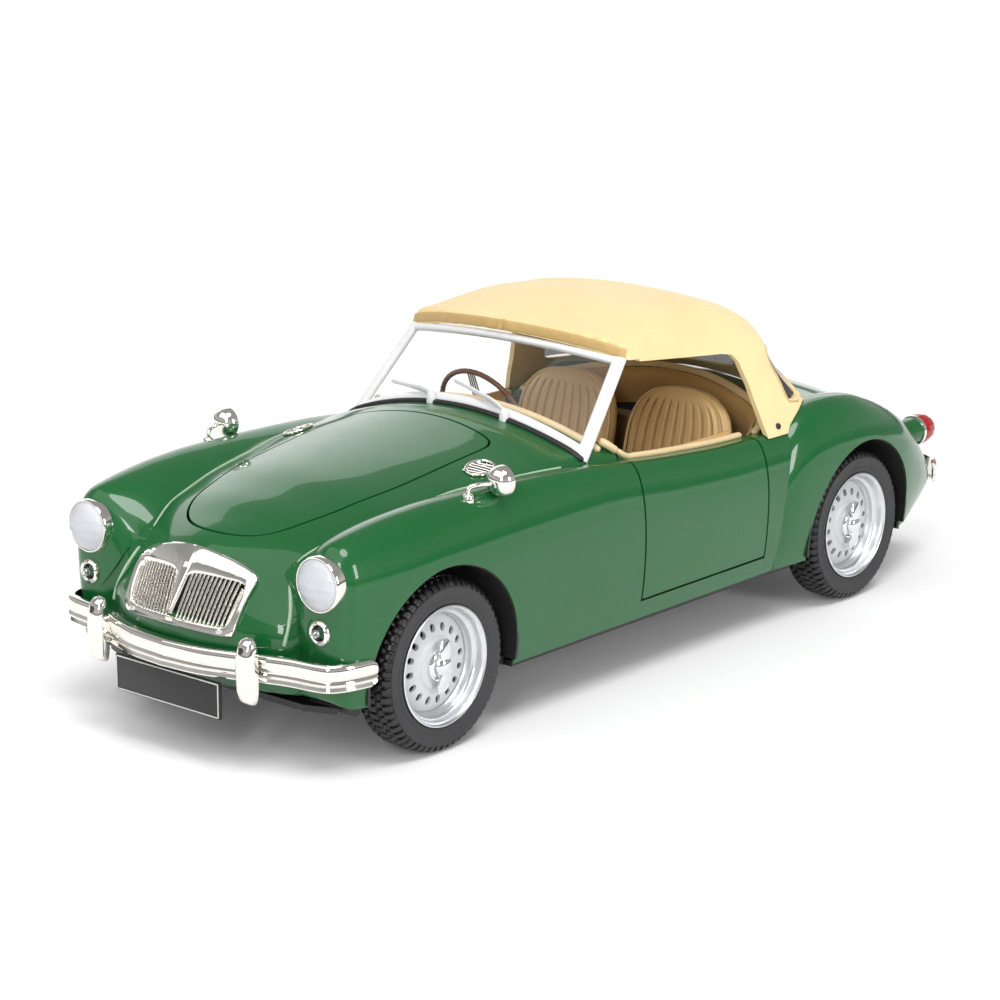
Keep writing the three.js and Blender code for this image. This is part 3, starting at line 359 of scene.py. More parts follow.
def texture(kit, kind="Noise", scale=500.0, detail=3.0, stretch=None, **settings):
    node = kit["nodes"].new(f"ShaderNodeTex{kind}")
    node.inputs["Scale"].default_value = scale
    if "Detail" in node.inputs:
        node.inputs["Detail"].default_value = detail
    for key, value in settings.items():
        if hasattr(node, key):
            setattr(node, key, value)
        else:
            node.inputs[key.replace("_", " ").title()].default_value = value
    source = kit["where"]
    if stretch:
        mapping = kit["nodes"].new("ShaderNodeMapping")
        mapping.inputs["Scale"].default_value = stretch
        kit["links"].new(source, mapping.inputs["Vector"])
        source = mapping.outputs["Vector"]
    kit["links"].new(source, node.inputs["Vector"])
    return node.outputs["Distance" if kind == "Voronoi" else "Fac"]


def blend_colour(kit, factor, other, low=0.35, high=0.65):
    """The base colour drifts to another colour where a factor is high."""
    ramp = kit["nodes"].new("ShaderNodeValToRGB")
    first, second = ramp.color_ramp.elements
    first.position, second.position = low, high
    first.color, second.color = (*kit["colour"], 1), (*other, 1)
    kit["links"].new(factor, ramp.inputs["Fac"])
    kit["links"].new(ramp.outputs["Color"], kit["shader"].inputs["Base Color"])


def vary_roughness(kit, factor, low, high):
    spread = kit["nodes"].new("ShaderNodeMapRange")
    spread.inputs["To Min"].default_value, spread.inputs["To Max"].default_value = low, high
    kit["links"].new(factor, spread.inputs["Value"])
    kit["links"].new(spread.outputs["Result"], kit["shader"].inputs["Roughness"])


def bump(kit, height, depth_mm, strength=1.0, coat=False):
    """Raises the surface by a height field. Calls add up."""
    node = kit["nodes"].new("ShaderNodeBump")
    node.inputs["Distance"].default_value = depth_mm * MM
    node.inputs["Strength"].default_value = strength
    kit["links"].new(height, node.inputs["Height"])
    if "bump" in kit:
        kit["links"].new(kit["bump"], node.inputs["Normal"])
    kit["bump"] = node.outputs["Normal"]
    kit["links"].new(kit["bump"], kit["shader"].inputs["Normal"])
    if coat:
        kit["links"].new(kit["bump"], kit["shader"].inputs["Coat Normal"])
    return kit


def mixed(kit, a, b, operation="MULTIPLY"):
    """The result of a sum on two sockets or numbers."""
    node = kit["nodes"].new("ShaderNodeMath")
    node.operation = operation
    for socket, value in zip(node.inputs, (a, b)):
        if isinstance(value, (int, float)):
            socket.default_value = value
        else:
            kit["links"].new(value, socket)
    return node.outputs[0]


def paint(name, colour, deep):
    kit = material(name, colour, 0.34, coat=0.8, specular=0.15)
    blend_colour(kit, texture(kit, scale=18, detail=2), deep, 0.3, 0.75)
    vary_roughness(kit, texture(kit, scale=160, detail=4), 0.26, 0.4)
    return bump(kit, texture(kit, scale=420, detail=1), 0.006, 0.35, coat=True)["mat"]


def plated(name, colour=(0.86, 0.87, 0.89), rough=(0.03, 0.12)):
    kit = material(name, colour, metal=1.0)
    blend_colour(kit, texture(kit, scale=220, detail=3), tuple(c * 0.93 for c in colour))
    vary_roughness(kit, texture(kit, scale=300, detail=5), *rough)
    return bump(kit, texture(kit, scale=240, detail=1), 0.008, 0.3)["mat"]


def moulded(name, colour, rough=(0.4, 0.6), grain=900.0, depth=0.02, other=None):
    """Moulded plastic, or an enamelled small part, with a fine grain."""
    kit = material(name, colour)
    blend_colour(kit, texture(kit, scale=60, detail=4), other or tuple(c * 0.75 for c in colour))
    vary_roughness(kit, texture(kit, scale=400, detail=3), *rough)
    return bump(kit, texture(kit, scale=grain, detail=2), depth, 0.6)["mat"]


def woven(name, colour, other, threads=2400.0):
    """Canvas: crossed sets of threads, a soft sheen and slow changes of shade."""
    kit = material(name, colour, 0.85, sheen=0.35, specular=0.25)
    blend_colour(kit, texture(kit, scale=45, detail=5), other, 0.35, 0.7)
    weave = 0.0
    for way in "XYZ":
        weave = mixed(kit, weave, texture(kit, "Wave", threads, bands_direction=way, detail=0.0), "ADD")
    bump(kit, weave, 0.03, 0.25)
    return bump(kit, texture(kit, scale=150, detail=3), 0.12, 0.3)["mat"]


def leathery(name, colour, other, rough=(0.42, 0.6)):
    kit = material(name, colour, sheen=0.1)
    blend_colour(kit, texture(kit, scale=90, detail=4), other)
    vary_roughness(kit, texture(kit, scale=500, detail=3), *rough)
    bump(kit, texture(kit, "Voronoi", 1500), 0.05, 0.25)
    return bump(kit, texture(kit, scale=700, detail=4), 0.03, 0.4)["mat"]


def clear(name, tint, base=0.05, rough=0.02):
    """Thin clear plastic: a mirror at grazing angles and nearly nothing seen face on."""
    kit = material(name, tint, rough, metal=1.0, specular=0.8)
    facing = kit["nodes"].new("ShaderNodeLayerWeight").outputs["Facing"]
    edge = mixed(kit, facing, 4.0, "POWER")
    amount = mixed(kit, mixed(kit, edge, 0.7), base, "ADD")
    amount = mixed(kit, amount, mixed(kit, texture(kit, scale=60, detail=3), 0.02), "ADD")
    kit["links"].new(amount, kit["shader"].inputs["Alpha"])
    return kit["mat"]


GREEN = paint("green_enamel", (0.006, 0.110, 0.024), (0.005, 0.096, 0.021))
# The seam piping's green is lighter than the paint: real piping, with a painted highlight in its colour.
PIPING_HIGHLIGHT = moulded("green_piping_painted_highlight", (0.42, 0.54, 0.40), (0.2, 0.35), 500, 0.005, (0.32, 0.46, 0.31))
SEAT = leathery("seat_tan", (0.74, 0.52, 0.24), (0.67, 0.46, 0.20))
LAMP = moulded("lamp_glass", (0.60, 0.62, 0.65), (0.06, 0.14), 500, 0.004, (0.50, 0.52, 0.55))
NUT = plated("nut_metal", (0.82, 0.82, 0.84), (0.08, 0.16))
RIM_METAL = plated("rim_metal", (0.74, 0.75, 0.77), (0.26, 0.38))
CHROME = plated("chrome_plate", (0.90, 0.87, 0.81))
SATIN = plated("satin_metal", (0.72, 0.73, 0.75), (0.2, 0.34))
SCREEN_METAL = moulded("screen_silver", (0.80, 0.80, 0.80), (0.22, 0.36), 600, 0.006, (0.74, 0.74, 0.75))
WHEEL_SILVER = moulded("wheel_silver", (0.62, 0.63, 0.65), (0.25, 0.4), 900, 0.01, (0.56, 0.57, 0.59))
CREAM = woven("cream_canvas", (0.86, 0.67, 0.34), (0.81, 0.61, 0.30))
HEM = leathery("cream_binding", (0.58, 0.39, 0.15), (0.52, 0.34, 0.12))
TRIM = leathery("cream_vinyl", (0.80, 0.62, 0.36), (0.74, 0.56, 0.31))
TAN = leathery("tan_vinyl", (0.60, 0.38, 0.15), (0.54, 0.33, 0.125))
CARPET = woven("tan_carpet", (0.25, 0.15, 0.07), (0.20, 0.12, 0.05), 1500)
BLACK = moulded("black_plastic", (0.018, 0.018, 0.019), (0.35, 0.55))
PLATE = moulded("plate_black", (0.012, 0.012, 0.013), (0.3, 0.42), 500, 0.004)
WHITE = moulded("border_white", (0.72, 0.72, 0.70), (0.4, 0.5), 900, 0.004)
SIDEWALL = moulded("tyre_sidewall", (0.034, 0.034, 0.036), (0.5, 0.68), 1600, 0.03, (0.026, 0.026, 0.028))
GLASS = clear("clear_screen", (0.9, 0.95, 0.97), 0.015)
VINYL = clear("clear_vinyl", (0.16, 0.14, 0.15), 0.55, 0.12)
LENS = clear("lamp_lens", (0.95, 0.96, 0.98), 0.3, 0.12)
BROWN = moulded("wheel_brown", (0.23, 0.10, 0.04), (0.18, 0.3), 300, 0.01, (0.16, 0.07, 0.03))
ENGINE = moulded("engine_red", (0.20, 0.04, 0.03), (0.4, 0.6))
RED = moulded("lamp_red", (0.42, 0.012, 0.008), (0.08, 0.16), 200, 0.005, (0.33, 0.008, 0.006))
TREAD = moulded("tyre_tread", (0.009, 0.009, 0.010), (0.3, 0.45), 900, 0.02, (0.014, 0.014, 0.015))
RUBBER = moulded("seal_black", (0.012, 0.012, 0.012), (0.45, 0.6))


# ---------------------------------------------------------------- body surfaces, as in the CAD
centre_top = curve(
    (-108, 38.4), (-101, 39.3), (-96, 40.4), (-92, 41.6), (-86, 43.9), (-80, 45.4), (-74, 46.8), (-62, 48.5),
    (-50, 50.0), (-38, 51.6), (-33, 52.2), (-26, 52.2), (0, 50.5), (30, 49.4), (42, 48.6), (55, 46.8),
    (70, 43.8), (82, 40.3), (92, 36.0), (100, 31.5), (106, 27.5))
crown = curve(
    (-108, 0.02), (-99, 0.02), (-95, 0.0125), (-91, 0.0088), (-80, 0.0078), (-62, 0.0064), (-50, 0.0058),
    (-36, 0.0066), (30, 0.006), (60, 0.0062), (90, 0.0085), (106, 0.012))
nose_y = curve((12, -103.4), (17, -105.6), (21, -106.6), (25.5, -106.4), (30, -104.6), (35.3, -101.9),
               (40, -99.2), (44, -96.5))
nose_bow = curve((12, 0.0118), (24.5, 0.0126), (34.5, 0.0162), (42, 0.02))
tail_y = curve((10, 100.5), (14, 104), (19, 106), (24, 106.2), (30, 104.6), (38, 100))
centre_half_width = curve((-108, 24.4), (-92, 24.6), (-80, 26), (-62, 29), (-40, 32), (60, 31), (106, 29))
centre_bottom_z = curve((-108, 14.2), (-98, 13.4), (-94, 12.6), (-90, SILL_Z), (95, SILL_Z), (104, 15))


def centre_depth(x, y, z, drop=0.0):
    top = centre_top(y) - crown(y) * x * x - z
    front = (y - nose_y(z) - nose_bow(z) * x * x) * 0.88
    shade_back = (tail_y(z) - 0.0105 * x * x - y) * 0.9
    depth = rounded_min(top, front, 5)
    depth = rounded_min(depth, shade_back, 6)
    depth = rounded_min(depth, centre_half_width(y) - np.abs(x), 3)
    return rounded_min(depth, z - centre_bottom_z(y) + drop, 2)


def centre_rings(inset):
    front, shade_back = -106.35 + inset * 1.1, 106.05 - inset * 1.1
    stations = np.concatenate([
        [front, front + 0.2, front + 0.5, front + 1, front + 1.8, front + 2.8], front + np.arange(4, 14, 1.4),
        np.linspace(-91, 88, 82), shade_back - np.array([14, 11, 8.5, 6, 4, 2.5, 1.4, 0.6, 0.2, 0])])
    drop = 8 if inset > 0 else 0
    depth = lambda x, y, z: centre_depth(x, y, z, drop)
    return ray_rings(depth, inset, stations, lambda y: 22.5 + 0 * y, 120)


seam_x = curve(
    (-99, 24.2), (-98, 22.4), (-95, 21.0), (-92, 20.5), (-86, 21.1), (-80, 22.5), (-74, 23.6), (-68, 25.1),
    (-62, 26.3), (-56, 27.6), (-50, 28.4), (-44, 29.2), (-38, 29.9), (-32, 30.6), (0, 31.2), (50, 31))
seam_z = curve(
    (-99, 28), (-98, 31), (-95, 35.4), (-92, 37.6), (-86, 40.1), (-80, 41.5), (-74, 42.7), (-68, 43.5),
    (-62, 44.3), (-56, 45.0), (-50, 45.2), (-44, 45.4), (-32, 45.2), (-16, 43.9), (0, 42.4), (20, 41.2),
    (50, 41))
wing_crest_x = curve((-99, 30.2), (-80, 31), (-60, 32), (-40, 33), (-20, 34), (50, 34.2))
wing_crest_z = curve(
    (-100, 42.0), (-94, 43.8), (-86, 45.2), (-79, 46.0), (-69, 46.5), (-59, 46.5), (-48, 46.3), (-37, 45.9),
    (-27, 45.1), (-16, 43.9), (0, 42.4), (20, 41.3), (50, 41))
side_half_width = curve((-100, 35.6), (-95, 36.7), (-88, 37.9), (-78, 38.7), (-60, 39.0), (-40, 38.9),
                        (0, 38.7), (50, 38.4))
side_middle_z = curve((-100, 34), (-80, 32), (-40, 30), (0, 28), (50, 28))
sill_half_width = curve((-100, 34.2), (-92, 35.4), (-85, 36.6), (-60, 37.4), (0, 37.2), (50, 37))
side_bottom_z = curve((-100, 13.6), (-92, 13), (-80, 12.4), (-60, SILL_Z), (50, SILL_Z))
side_inner_x = curve((-99, 25.2), (-97.6, 23.4), (-96, 20), (-94, 16), (50, 16))

haunch_z = curve(
    (30, 30), (32, 35.4), (35, 39.9), (39, 43.2), (44, 45.1), (51, 45.8), (59, 45.1), (68, 42.6), (75, 39.9),
    (81, 36.9), (87, 32.9), (93, 28.4), (98, 24.2), (102, 20))
haunch_crest_x = curve((30, 34.5), (40, 33.6), (60, 32.8), (80, 31), (95, 28), (102, 25))
haunch_half_width = curve(
    (30, 38.0), (33, 38.9), (38, 39.9), (46, 40.6), (56, 40.9), (66, 40.6), (76, 39.5), (85, 37.4),
    (92, 34.9), (98, 31.8), (102, 28))
haunch_middle_z = curve((30, 24), (40, 30), (55, 31), (75, 28), (90, 22), (102, 17))
haunch_sill_x = curve((30, 37.2), (56, 38.8), (76, 37.6), (90, 33), (102, 25))
haunch_bottom_z = curve((30, SILL_Z), (75, SILL_Z), (90, 13.4), (102, 15.5))
haunch_seam_x = curve((30, 30), (38, 26), (50, 24), (70, 22), (90, 20), (102, 16))
haunch_seam_z = curve(
    (30, 20), (34, 32), (40, 39), (50, 43), (60, 42.4), (70, 40), (82, 35), (92, 28.6), (102, 19))


def edge_inset(d, r):
    """How far a rounded edge of radius r lies inside a square one, at a distance d from the end."""
    return 0.0 if d >= r else r - math.sqrt(max(r * r - (r - d) ** 2, 0))


def wing_ring(y, inset, e, inner_x, bottom_z, sill_x, mid_x, mid_z, crest_x, crest_z, seam_at_x, seam_at_z,
              power):
    """One ring of a wing: bottom, outer side, shoulder, crest and inner slope."""
    out_x, top_z = mid_x - e - inset, crest_z - e - inset
    sill = sill_x - e
    low = [(inner_x + e + inset, bottom_z), (sill - inset, bottom_z)]
    t = np.linspace(0, 1, 9)[1:-1]
    knee = np.array([[sill - inset, bottom_z],
                     [out_x - (mid_x - sill_x) * 0.25, bottom_z + (mid_z - bottom_z) * 0.5],
                     [out_x, mid_z]])
    bend = 2 * knee[1] - (knee[0] + knee[2]) / 2
    rise = (1 - t)[:, None] ** 2 * knee[0] + 2 * (t * (1 - t))[:, None] * bend + t[:, None] ** 2 * knee[2]
    a = np.linspace(0, PI / 2, 25)
    shoulder = np.stack([crest_x + (out_x - crest_x) * np.cos(a) ** (2 / power),
                         mid_z + (top_z - mid_z) * np.sin(a) ** (2 / power)], 1)
    drop = min(seam_at_z - e - inset, top_z)
    s = np.linspace(0, 1, 9)[1:]
    slope = np.stack([crest_x + (seam_at_x + e - crest_x) * s, top_z - (top_z - drop) * s ** 1.7], 1)
    ring = np.vstack([low, rise, shoulder, slope, [(inner_x + e + inset, drop)]])
    return np.stack([ring[:, 0], np.full(len(ring), y), ring[:, 1]], 1)


def side_rings(inset):
    front = -98.7 + inset
    steps = [0, 0.1, 0.25, 0.5, 0.8, 1.2, 1.7, 2.3, 3, 3.8]
    stations = np.concatenate([front + np.array(steps), np.linspace(-93.5, 45, 76)])
    rings = []
    for y in stations:
        e = edge_inset(y - front, 3.6)
        bottom = SILL_Z - 8 if inset > 0 else float(side_bottom_z(y)) + e
        rings.append(wing_ring(
            y, inset, e, side_inner_x(y), bottom, sill_half_width(y), side_half_width(y), side_middle_z(y),
            wing_crest_x(y), wing_crest_z(y), seam_x(y), seam_z(y), 2.15))
    return np.array(rings)


def haunch_rings(inset):
    front, shade_back = 29.8 + inset, 102 - inset * 2
    stations = np.concatenate([front + np.arange(0, 9, 1.0), np.linspace(40, 95, 36),
                               shade_back - np.array([5.5, 4.2, 3.2, 2.2, 1.4, 0.8, 0.35, 0.1, 0])])
    rings = []
    for y in stations:
        e = edge_inset(shade_back - y, 3.2)
        bottom = SILL_Z - 8 if inset > 0 else float(haunch_bottom_z(y)) + e * 0.6
        rings.append(wing_ring(
            y, inset, e, 12, bottom, haunch_sill_x(y), haunch_half_width(y), haunch_middle_z(y),
            haunch_crest_x(y), haunch_z(y), haunch_seam_x(y) - e, haunch_seam_z(y), 2.1))
    return np.array(rings)


spare = []  # solids that only help to make the pieces, removed at the end


def helper(obj):
    spare.append(obj)
    return obj


def body_solids(inset):
    return [helper(loft("centre", centre_rings(inset))), helper(both_sides("sides", side_rings(inset))),
            helper(both_sides("haunches", haunch_rings(inset)))]


def union(objects):
    whole = copy_of(objects[0], "whole")
    for o in objects[1:]:
        boolean(whole, o, "UNION", keep=True)
    return whole


class Shading:
    """The smooth normals of uncut surfaces, handed on to whatever is cut from them."""

    def __init__(self, objects, degrees=40):
        self.sources = []
        for o in objects:
            shade(o, degrees)
            mesh = o.data
            mesh.calc_loop_triangles()
            corners = np.array([t.vertices for t in mesh.loop_triangles])
            loops = np.array([t.loops for t in mesh.loop_triangles])
            normals = np.array([n.vector for n in mesh.corner_normals])
            points = np.array([v.co for v in mesh.vertices])
            tree = BVHTree.FromPolygons(points.tolist(), corners.tolist())
            self.sources.append((tree, points[corners], normals[loops]))

    def give(self, obj, reach=0.045 * MM):
        """Every face that lies on a source takes that source's smooth normals."""
        mesh = obj.data
        for polygon in mesh.polygons:
            polygon.use_smooth = True
        normals = [None] * len(mesh.loops)
        for polygon in mesh.polygons:
            middle, flat = polygon.center, polygon.normal
            best = None
            for source in self.sources:
                hit = source[0].find_nearest(middle, reach)
                if hit[0] is not None and abs(hit[1].dot(flat)) > 0.7 and (best is None or hit[3] < best[0]):
                    best = (hit[3], source, 1 if hit[1].dot(flat) > 0 else -1)
            for loop in polygon.loop_indices:
                if best is None:
                    normals[loop] = flat
                    continue
                tree, corners, smooth = best[1]
                point = mesh.vertices[mesh.loops[loop].vertex_index].co
                at, _, index, _ = tree.find_nearest(point.lerp(middle, 0.02))
                a, b, c = corners[index]
                v = np.array([b - a, c - a]).T
                uv = np.linalg.lstsq(v, np.array(at) - a, rcond=None)[0]
                mix = smooth[index][0] * (1 - uv.sum()) + smooth[index][1] * uv[0] + smooth[index][2] * uv[1]
                n = Vector(mix * best[2])
                normals[loop] = n.normalized() if n.length > 0.3 else flat
        mesh.normals_split_custom_set([tuple(n) for n in normals])
        return obj


# ---------------------------------------------------------------- painted panels
COCKPIT = symmetric((0, -21), (16, -20.2), (26, -18), (31.8, -15), (31.8, 27), (30.6, 31.5), (28.5, 35.2),
                    (24, 38.1), (16, 40.8), (8, 42.5), (0, 43))
BONNET = symmetric((0, -95.7), (5, -95.0), (9.6, -92.6), (13.2, -88.4), (15.5, -82), (18, -70), (18.7, -60),
                   (18.9, -42), (18.4, -39.6), (16.5, -37.9), (8, -36.9), (0, -36.6))
BOOT = symmetric((0, 62), (10, 62.2), (15.5, 63.4), (17.3, 66.4), (17.6, 80), (16.6, 92), (14.6, 99),
                 (10.5, 102.2), (0, 102.8))
GRILLE = symmetric((0, 26.8), (12.2, 26.1), (13, 27), (13.5, 31), (13.2, 34), (12.2, 34.7), (0, 35.4))


def bonnet_cut(gap):
    return prism("cut", rounded(grown(BONNET, gap), 2), 30, 60)


def boot_cut(gap):
    lean = Matrix(((1, 0, 0, 0), (0, 1, 0.43, 0), (0, 0, 1, 45.6), (0, 0, 0, 1)))
    return prism("cut", rounded(grown(BOOT, gap), 2), -28, 12, matrix=lean)


def door_cut(gap, side):
    x, y = DOOR_HINGE
    radius = DOOR_LENGTH + gap
    rear = arc(DOOR_HINGE, radius, math.acos(6 / radius), math.acos(-8.5 / radius), 24)
    outline = np.vstack([[(x - 8.5, y - gap), (x + 6, y - gap)], rear]) * [side, 1]
    return prism("cut", outline, DOOR_BOTTOM_Z - gap, 60)


def wheel_arch(y, side):
    return turned("cut", [(0, 21), (ARCH_R, 21), (ARCH_R, 48), (0, 48)], 96, (0, y, TYRE_R), "x", side)


outer_parts, inner_parts = body_solids(0), body_solids(SKIN)
PLINTH = [(83.6, 0.02), (85, 0.8), (86.6, 1.6), (88.5, 2.25), (90.4, 2.7), (92.5, 2.98), (94.6, 3.1),
          (96.5, 3.14), (98.2, 3.1), (98.4, 2.95)]
plinths = both_sides("plinths", [[(TAIL_LAMP_X + u, y, TAIL_LAMP_Z + v) for u, v in circle(r, 32)]
                                 for y, r in PLINTH])
shading = Shading(outer_parts + inner_parts + [plinths])
outer, inner = helper(union(outer_parts)), helper(union(inner_parts))
skin = helper(boolean(copy_of(outer, "skin"), inner, keep=True))

shell = boolean(copy_of(skin, "body_paint"), boolean(plinths, inner, keep=True), "UNION")
for y in (FRONT_AXLE_Y, REAR_AXLE_Y):
    for side in (1, -1):
        boolean(shell, wheel_arch(y, side))
boolean(shell, prism("cut", rounded(COCKPIT, 2), 34, 70))
for side in (1, -1):
    boolean(shell, door_cut(GAP, side))
boolean(shell, bonnet_cut(GAP))
boolean(shell, boot_cut(GAP))
boolean(shell, prism("cut", GRILLE, -115, -92, "y"))
place(shading.give(shell), "root", GREEN, ["body_shell"])

bonnet = boolean(copy_of(skin, "bonnet_paint"), bonnet_cut(0), "INTERSECT")
place(shading.give(bonnet), "bonnet", GREEN, ["bonnet"])
boot = boolean(copy_of(skin, "boot_paint"), boot_cut(0), "INTERSECT")
place(shading.give(boot), "boot_lid", GREEN, ["boot_lid"])
for name, side in SIDES:
    door = boolean(copy_of(skin, f"door_{name}_paint"), door_cut(0, side), "INTERSECT")
    boolean(door, prism("cut", rounded(COCKPIT, 2), 34, 70))
    place(shading.give(door), f"door_{name}", GREEN, [f"door_{name}"])


def surface_tree(obj):
    bm = bmesh.new()
    bm.from_mesh(obj.data)
    tree = BVHTree.FromBMesh(bm)
    bm.free()
    return tree


OUTER_TREE = surface_tree(outer)


def on_body(x, y, lift=0.0):
    """The point on the body straight below (x, y), lifted along the surface."""
    hit = OUTER_TREE.ray_cast(Vector((x, y, 90)) * MM, Vector((0, 0, -1)))
    return (np.array(hit[0]) + np.array(hit[1]) * lift * MM) / MM


def seam_points():
    """Points along the join of the wing and the centre body, from the scuttle to the headlamp and on down."""
    centre, sides = surface_tree(outer_parts[0]), surface_tree(outer_parts[1])
    points = []
    down, shade_back = Vector((0, 0, -1)), Vector((0, 1, 0))
    for y in np.arange(-33, -96.5, -1.5):
        for x in np.arange(34, 18, -0.05):
            a = centre.ray_cast(Vector((x, y, 90)) * MM, down)[0]
            b = sides.ray_cast(Vector((x, y, 90)) * MM, down)[0]
            if a is not None and (b is None or a.z > b.z):
                points.append([x, y, a.z / MM])
                break
    brow = points[-1][2]
    for z in np.arange(brow - 1.5, 23.5, -1.5):
        for x in np.arange(34, 18, -0.05):
            a = centre.ray_cast(Vector((x, -120, z)) * MM, shade_back)[0]
            b = sides.ray_cast(Vector((x, -120, z)) * MM, shade_back)[0]
            if a is not None and (b is None or a.y < b.y):
                x -= 0.19 * (brow - z)
                hits = [tree.ray_cast(Vector((x, -120, z)) * MM, shade_back)[0] for tree in (centre, sides)]
                points.append([x, min(h.y for h in hits if h is not None) / MM, z])
                break
    return np.array(points)


def smoothed(points, times=3):
    p = np.array(points, float)
    for _ in range(times):
        p[1:-1] = (p[:-2] + 2 * p[1:-1] + p[2:]) / 4
    return p


seam = spline(smoothed(seam_points()), 90)
upper, nose = seam[seam[:, 1] > -94], seam[seam[:, 1] <= -93]
beads = joined("seam_beads", *(tube("bead", p, r, 8) for path, r in ((upper, 0.26), (nose, 0.4))
                               for p in (path, mirrored(path))))
# The beads take the piping green, lightened as a painted highlight.
place(shade(beads, 60), "root", PIPING_HIGHLIGHT)


# ---------------------------------------------------------------- soft top
roof_z = curve(
    (-16, 66.4), (-12, 67.8), (-6, 69.3), (2, 70.5), (10, 70.9), (18, 70.7), (26, 70), (34, 69.3), (42, 68.4))
roof_crown = curve((-14, 0.0021), (-6, 0.0036), (4, 0.0038), (16, 0.0038), (40, 0.0048))
roof_shoulder = curve((-12, 3), (0, 6), (20, 9))
back_y = curve((38, 57.4), (42, 56.4), (47, 52.6), (52, 48.7), (58, 46.4), (62, 45.4), (66, 42.3), (70, 35.5))
back_corner = curve((42, 8), (60, 11))
hood_middle_z = curve((30, 52), (42, 50), (50, 44), (56, 38.5))


def hood_depth(x, y, z):
    top = (roof_z(y) - roof_crown(y) * x * x - z) * 0.97
    side = (36.1 - (z - 40) * 0.33 - np.abs(x)) * 0.95
    shade_back = (back_y(z) - 0.004 * x * x - y) * 0.72
    depth = rounded_min(top, side, roof_shoulder(y))
    depth = rounded_min(depth, shade_back, back_corner(z))
    depth = rounded_min(depth, y - (-14.4 + 0.0056 * x * x), 1)
    return rounded_min(depth, z - 34, 1)


def hood_creases(x, y, z):
    """Soft folds: sags between the hoop sticks, drag lines at the rear corners and ripples over the hem."""
    roof = np.clip((z - 62) / 5, 0, 1)
    sag = -0.16 * roof * (1 - np.cos((y + 14) / 19.5 * 2 * PI)) * np.exp(-(x / 30) ** 4)
    corner = np.exp(-((y - 36) / 9) ** 2 - ((z - 55) / 9) ** 2)
    drag = 0.22 * corner * np.sin((z * 0.55 - y * 0.42) * 1.15 + np.sign(x) * 0.4)
    low = np.exp(-((z - 45.5) / 4.0) ** 2)
    ripple = 0.13 * low * np.sin(np.arctan2(x, y - 25) * 13 + 1.0)
    ripple = ripple + 0.07 * low * np.sin(np.arctan2(x, y - 25) * 29)
    front = 0.08 * np.exp(-((y + 10) / 3.5) ** 2) * np.sin(x * 0.42 + 0.8)
    return sag + drag + ripple * np.clip((y - 24) / 6, 0, 1) + front


def hood_rings(inset, creased=True):
    front, shade_back = -14.3 + inset, 56 - inset * 1.2
    stations = np.concatenate([front + np.array([0, 0.2, 0.5, 0.9, 1.5, 2.3, 3.2]), np.linspace(-10, 44, 64),
                               np.linspace(44.8, shade_back - 1, 20), shade_back - np.array([0.6, 0.3, 0.1, 0])])
    rings = ray_rings(hood_depth, inset, stations, hood_middle_z, 160)
    if creased:
        middle = np.stack([0 * stations, stations, hood_middle_z(stations)], 1)[:, None]
        out = rings - middle
        length = np.linalg.norm(out, axis=2, keepdims=True)
        folds = hood_creases(*np.moveaxis(rings, 2, 0))[..., None]
        rings = middle + out * (1 + folds / np.maximum(length, 1))
    return rings


SIDE_WINDOW = [(-40, 30), (-40, 63.6), (-12, 63.2), (-8.6, 61.9), (8, 60.3), (20, 59.2), (23.4, 58.6),
               (25.2, 56.8), (26.6, 52), (28.2, 44), (29, 40.6), (29.4, 30)]
BACK_WINDOW = rounded(symmetric((0, 49.6), (12, 49.6), (13.6, 51), (12.6, 58.6), (11, 59.8), (0, 60)), 2)
QUARTER = rounded([(-5, 46.9), (4.4, 46.4), (5.2, 48), (4, 55.6), (2.6, 57), (-4.2, 57), (-5.6, 55.4)], 2)
QUARTER_TURN = 0.84


def quarter_frame(side):
    """Where a quarter window's outline lies: across, up and outwards from the hood's corner."""
    outward = Vector((math.sin(QUARTER_TURN) * side, math.cos(QUARTER_TURN), 0))
    across = Vector((math.cos(QUARTER_TURN) * side, -math.sin(QUARTER_TURN), 0))
    frame_ = Matrix((across, Vector((0, 0, 1)), outward)).transposed().to_4x4()
    frame_.translation = Vector((19 * side, 33, 0))
    return frame_


def cut_hood(obj):
    """Opens the hood below: over the body, in front of the header below the hem's curve, and at the sides."""
    boolean(obj, body_clear, keep=True)
    sections = []
    for x in np.linspace(-40, 40, 41):
        top = 65.35 - 0.0031 * x * x
        sections.append([(x, -30, 30), (x, -6, 30), (x, -6, top - 0.7), (x, -30, top + 1.2)])
    boolean(obj, loft("cut", sections))
    boolean(obj, prism("cut", SIDE_WINDOW, -50, 50, "x"))


body_clear = helper(union(body_solids(-CLEAR)))
hood_outer = helper(loft("hood_outer", hood_rings(0)))
hood_inner = helper(loft("hood_inner", hood_rings(1.1)))
hood_shading = Shading([hood_outer, hood_inner], 50)
hood = boolean(copy_of(hood_outer, "hood_cloth"), hood_inner, keep=True)
cut_hood(hood)
boolean(hood, prism("cut", BACK_WINDOW, 30, 70, "y"))
for side in (1, -1):
    boolean(hood, prism("cut", QUARTER, 0, 24, matrix=quarter_frame(side)))
place(hood_shading.give(hood), "soft_top", CREAM, ["soft_top"])
HOOD_TREE = surface_tree(hood_outer)

pane = loft("hood_panes", hood_rings(0.5, False))
boolean(pane, loft("pane_inner", hood_rings(0.85, False)))
boolean(pane, body_clear, keep=True)
boolean(pane, prism("cut", [(36, 47.2), (60, 47.2), (60, 60.9), (36, 60.9)], -40, 40, "x"), "INTERSECT")
place(shade(pane), "soft_top", VINYL, ["rear_window"])


def on_hood(start, way, lift=0.0):
    """The point where a ray meets the hood, lifted off the surface, or None."""
    hit = HOOD_TREE.ray_cast(Vector(start) * MM, Vector(way))
    if hit[0] is None:
        return None
    return (np.array(hit[0]) + np.array(hit[1]) * lift * MM) / MM


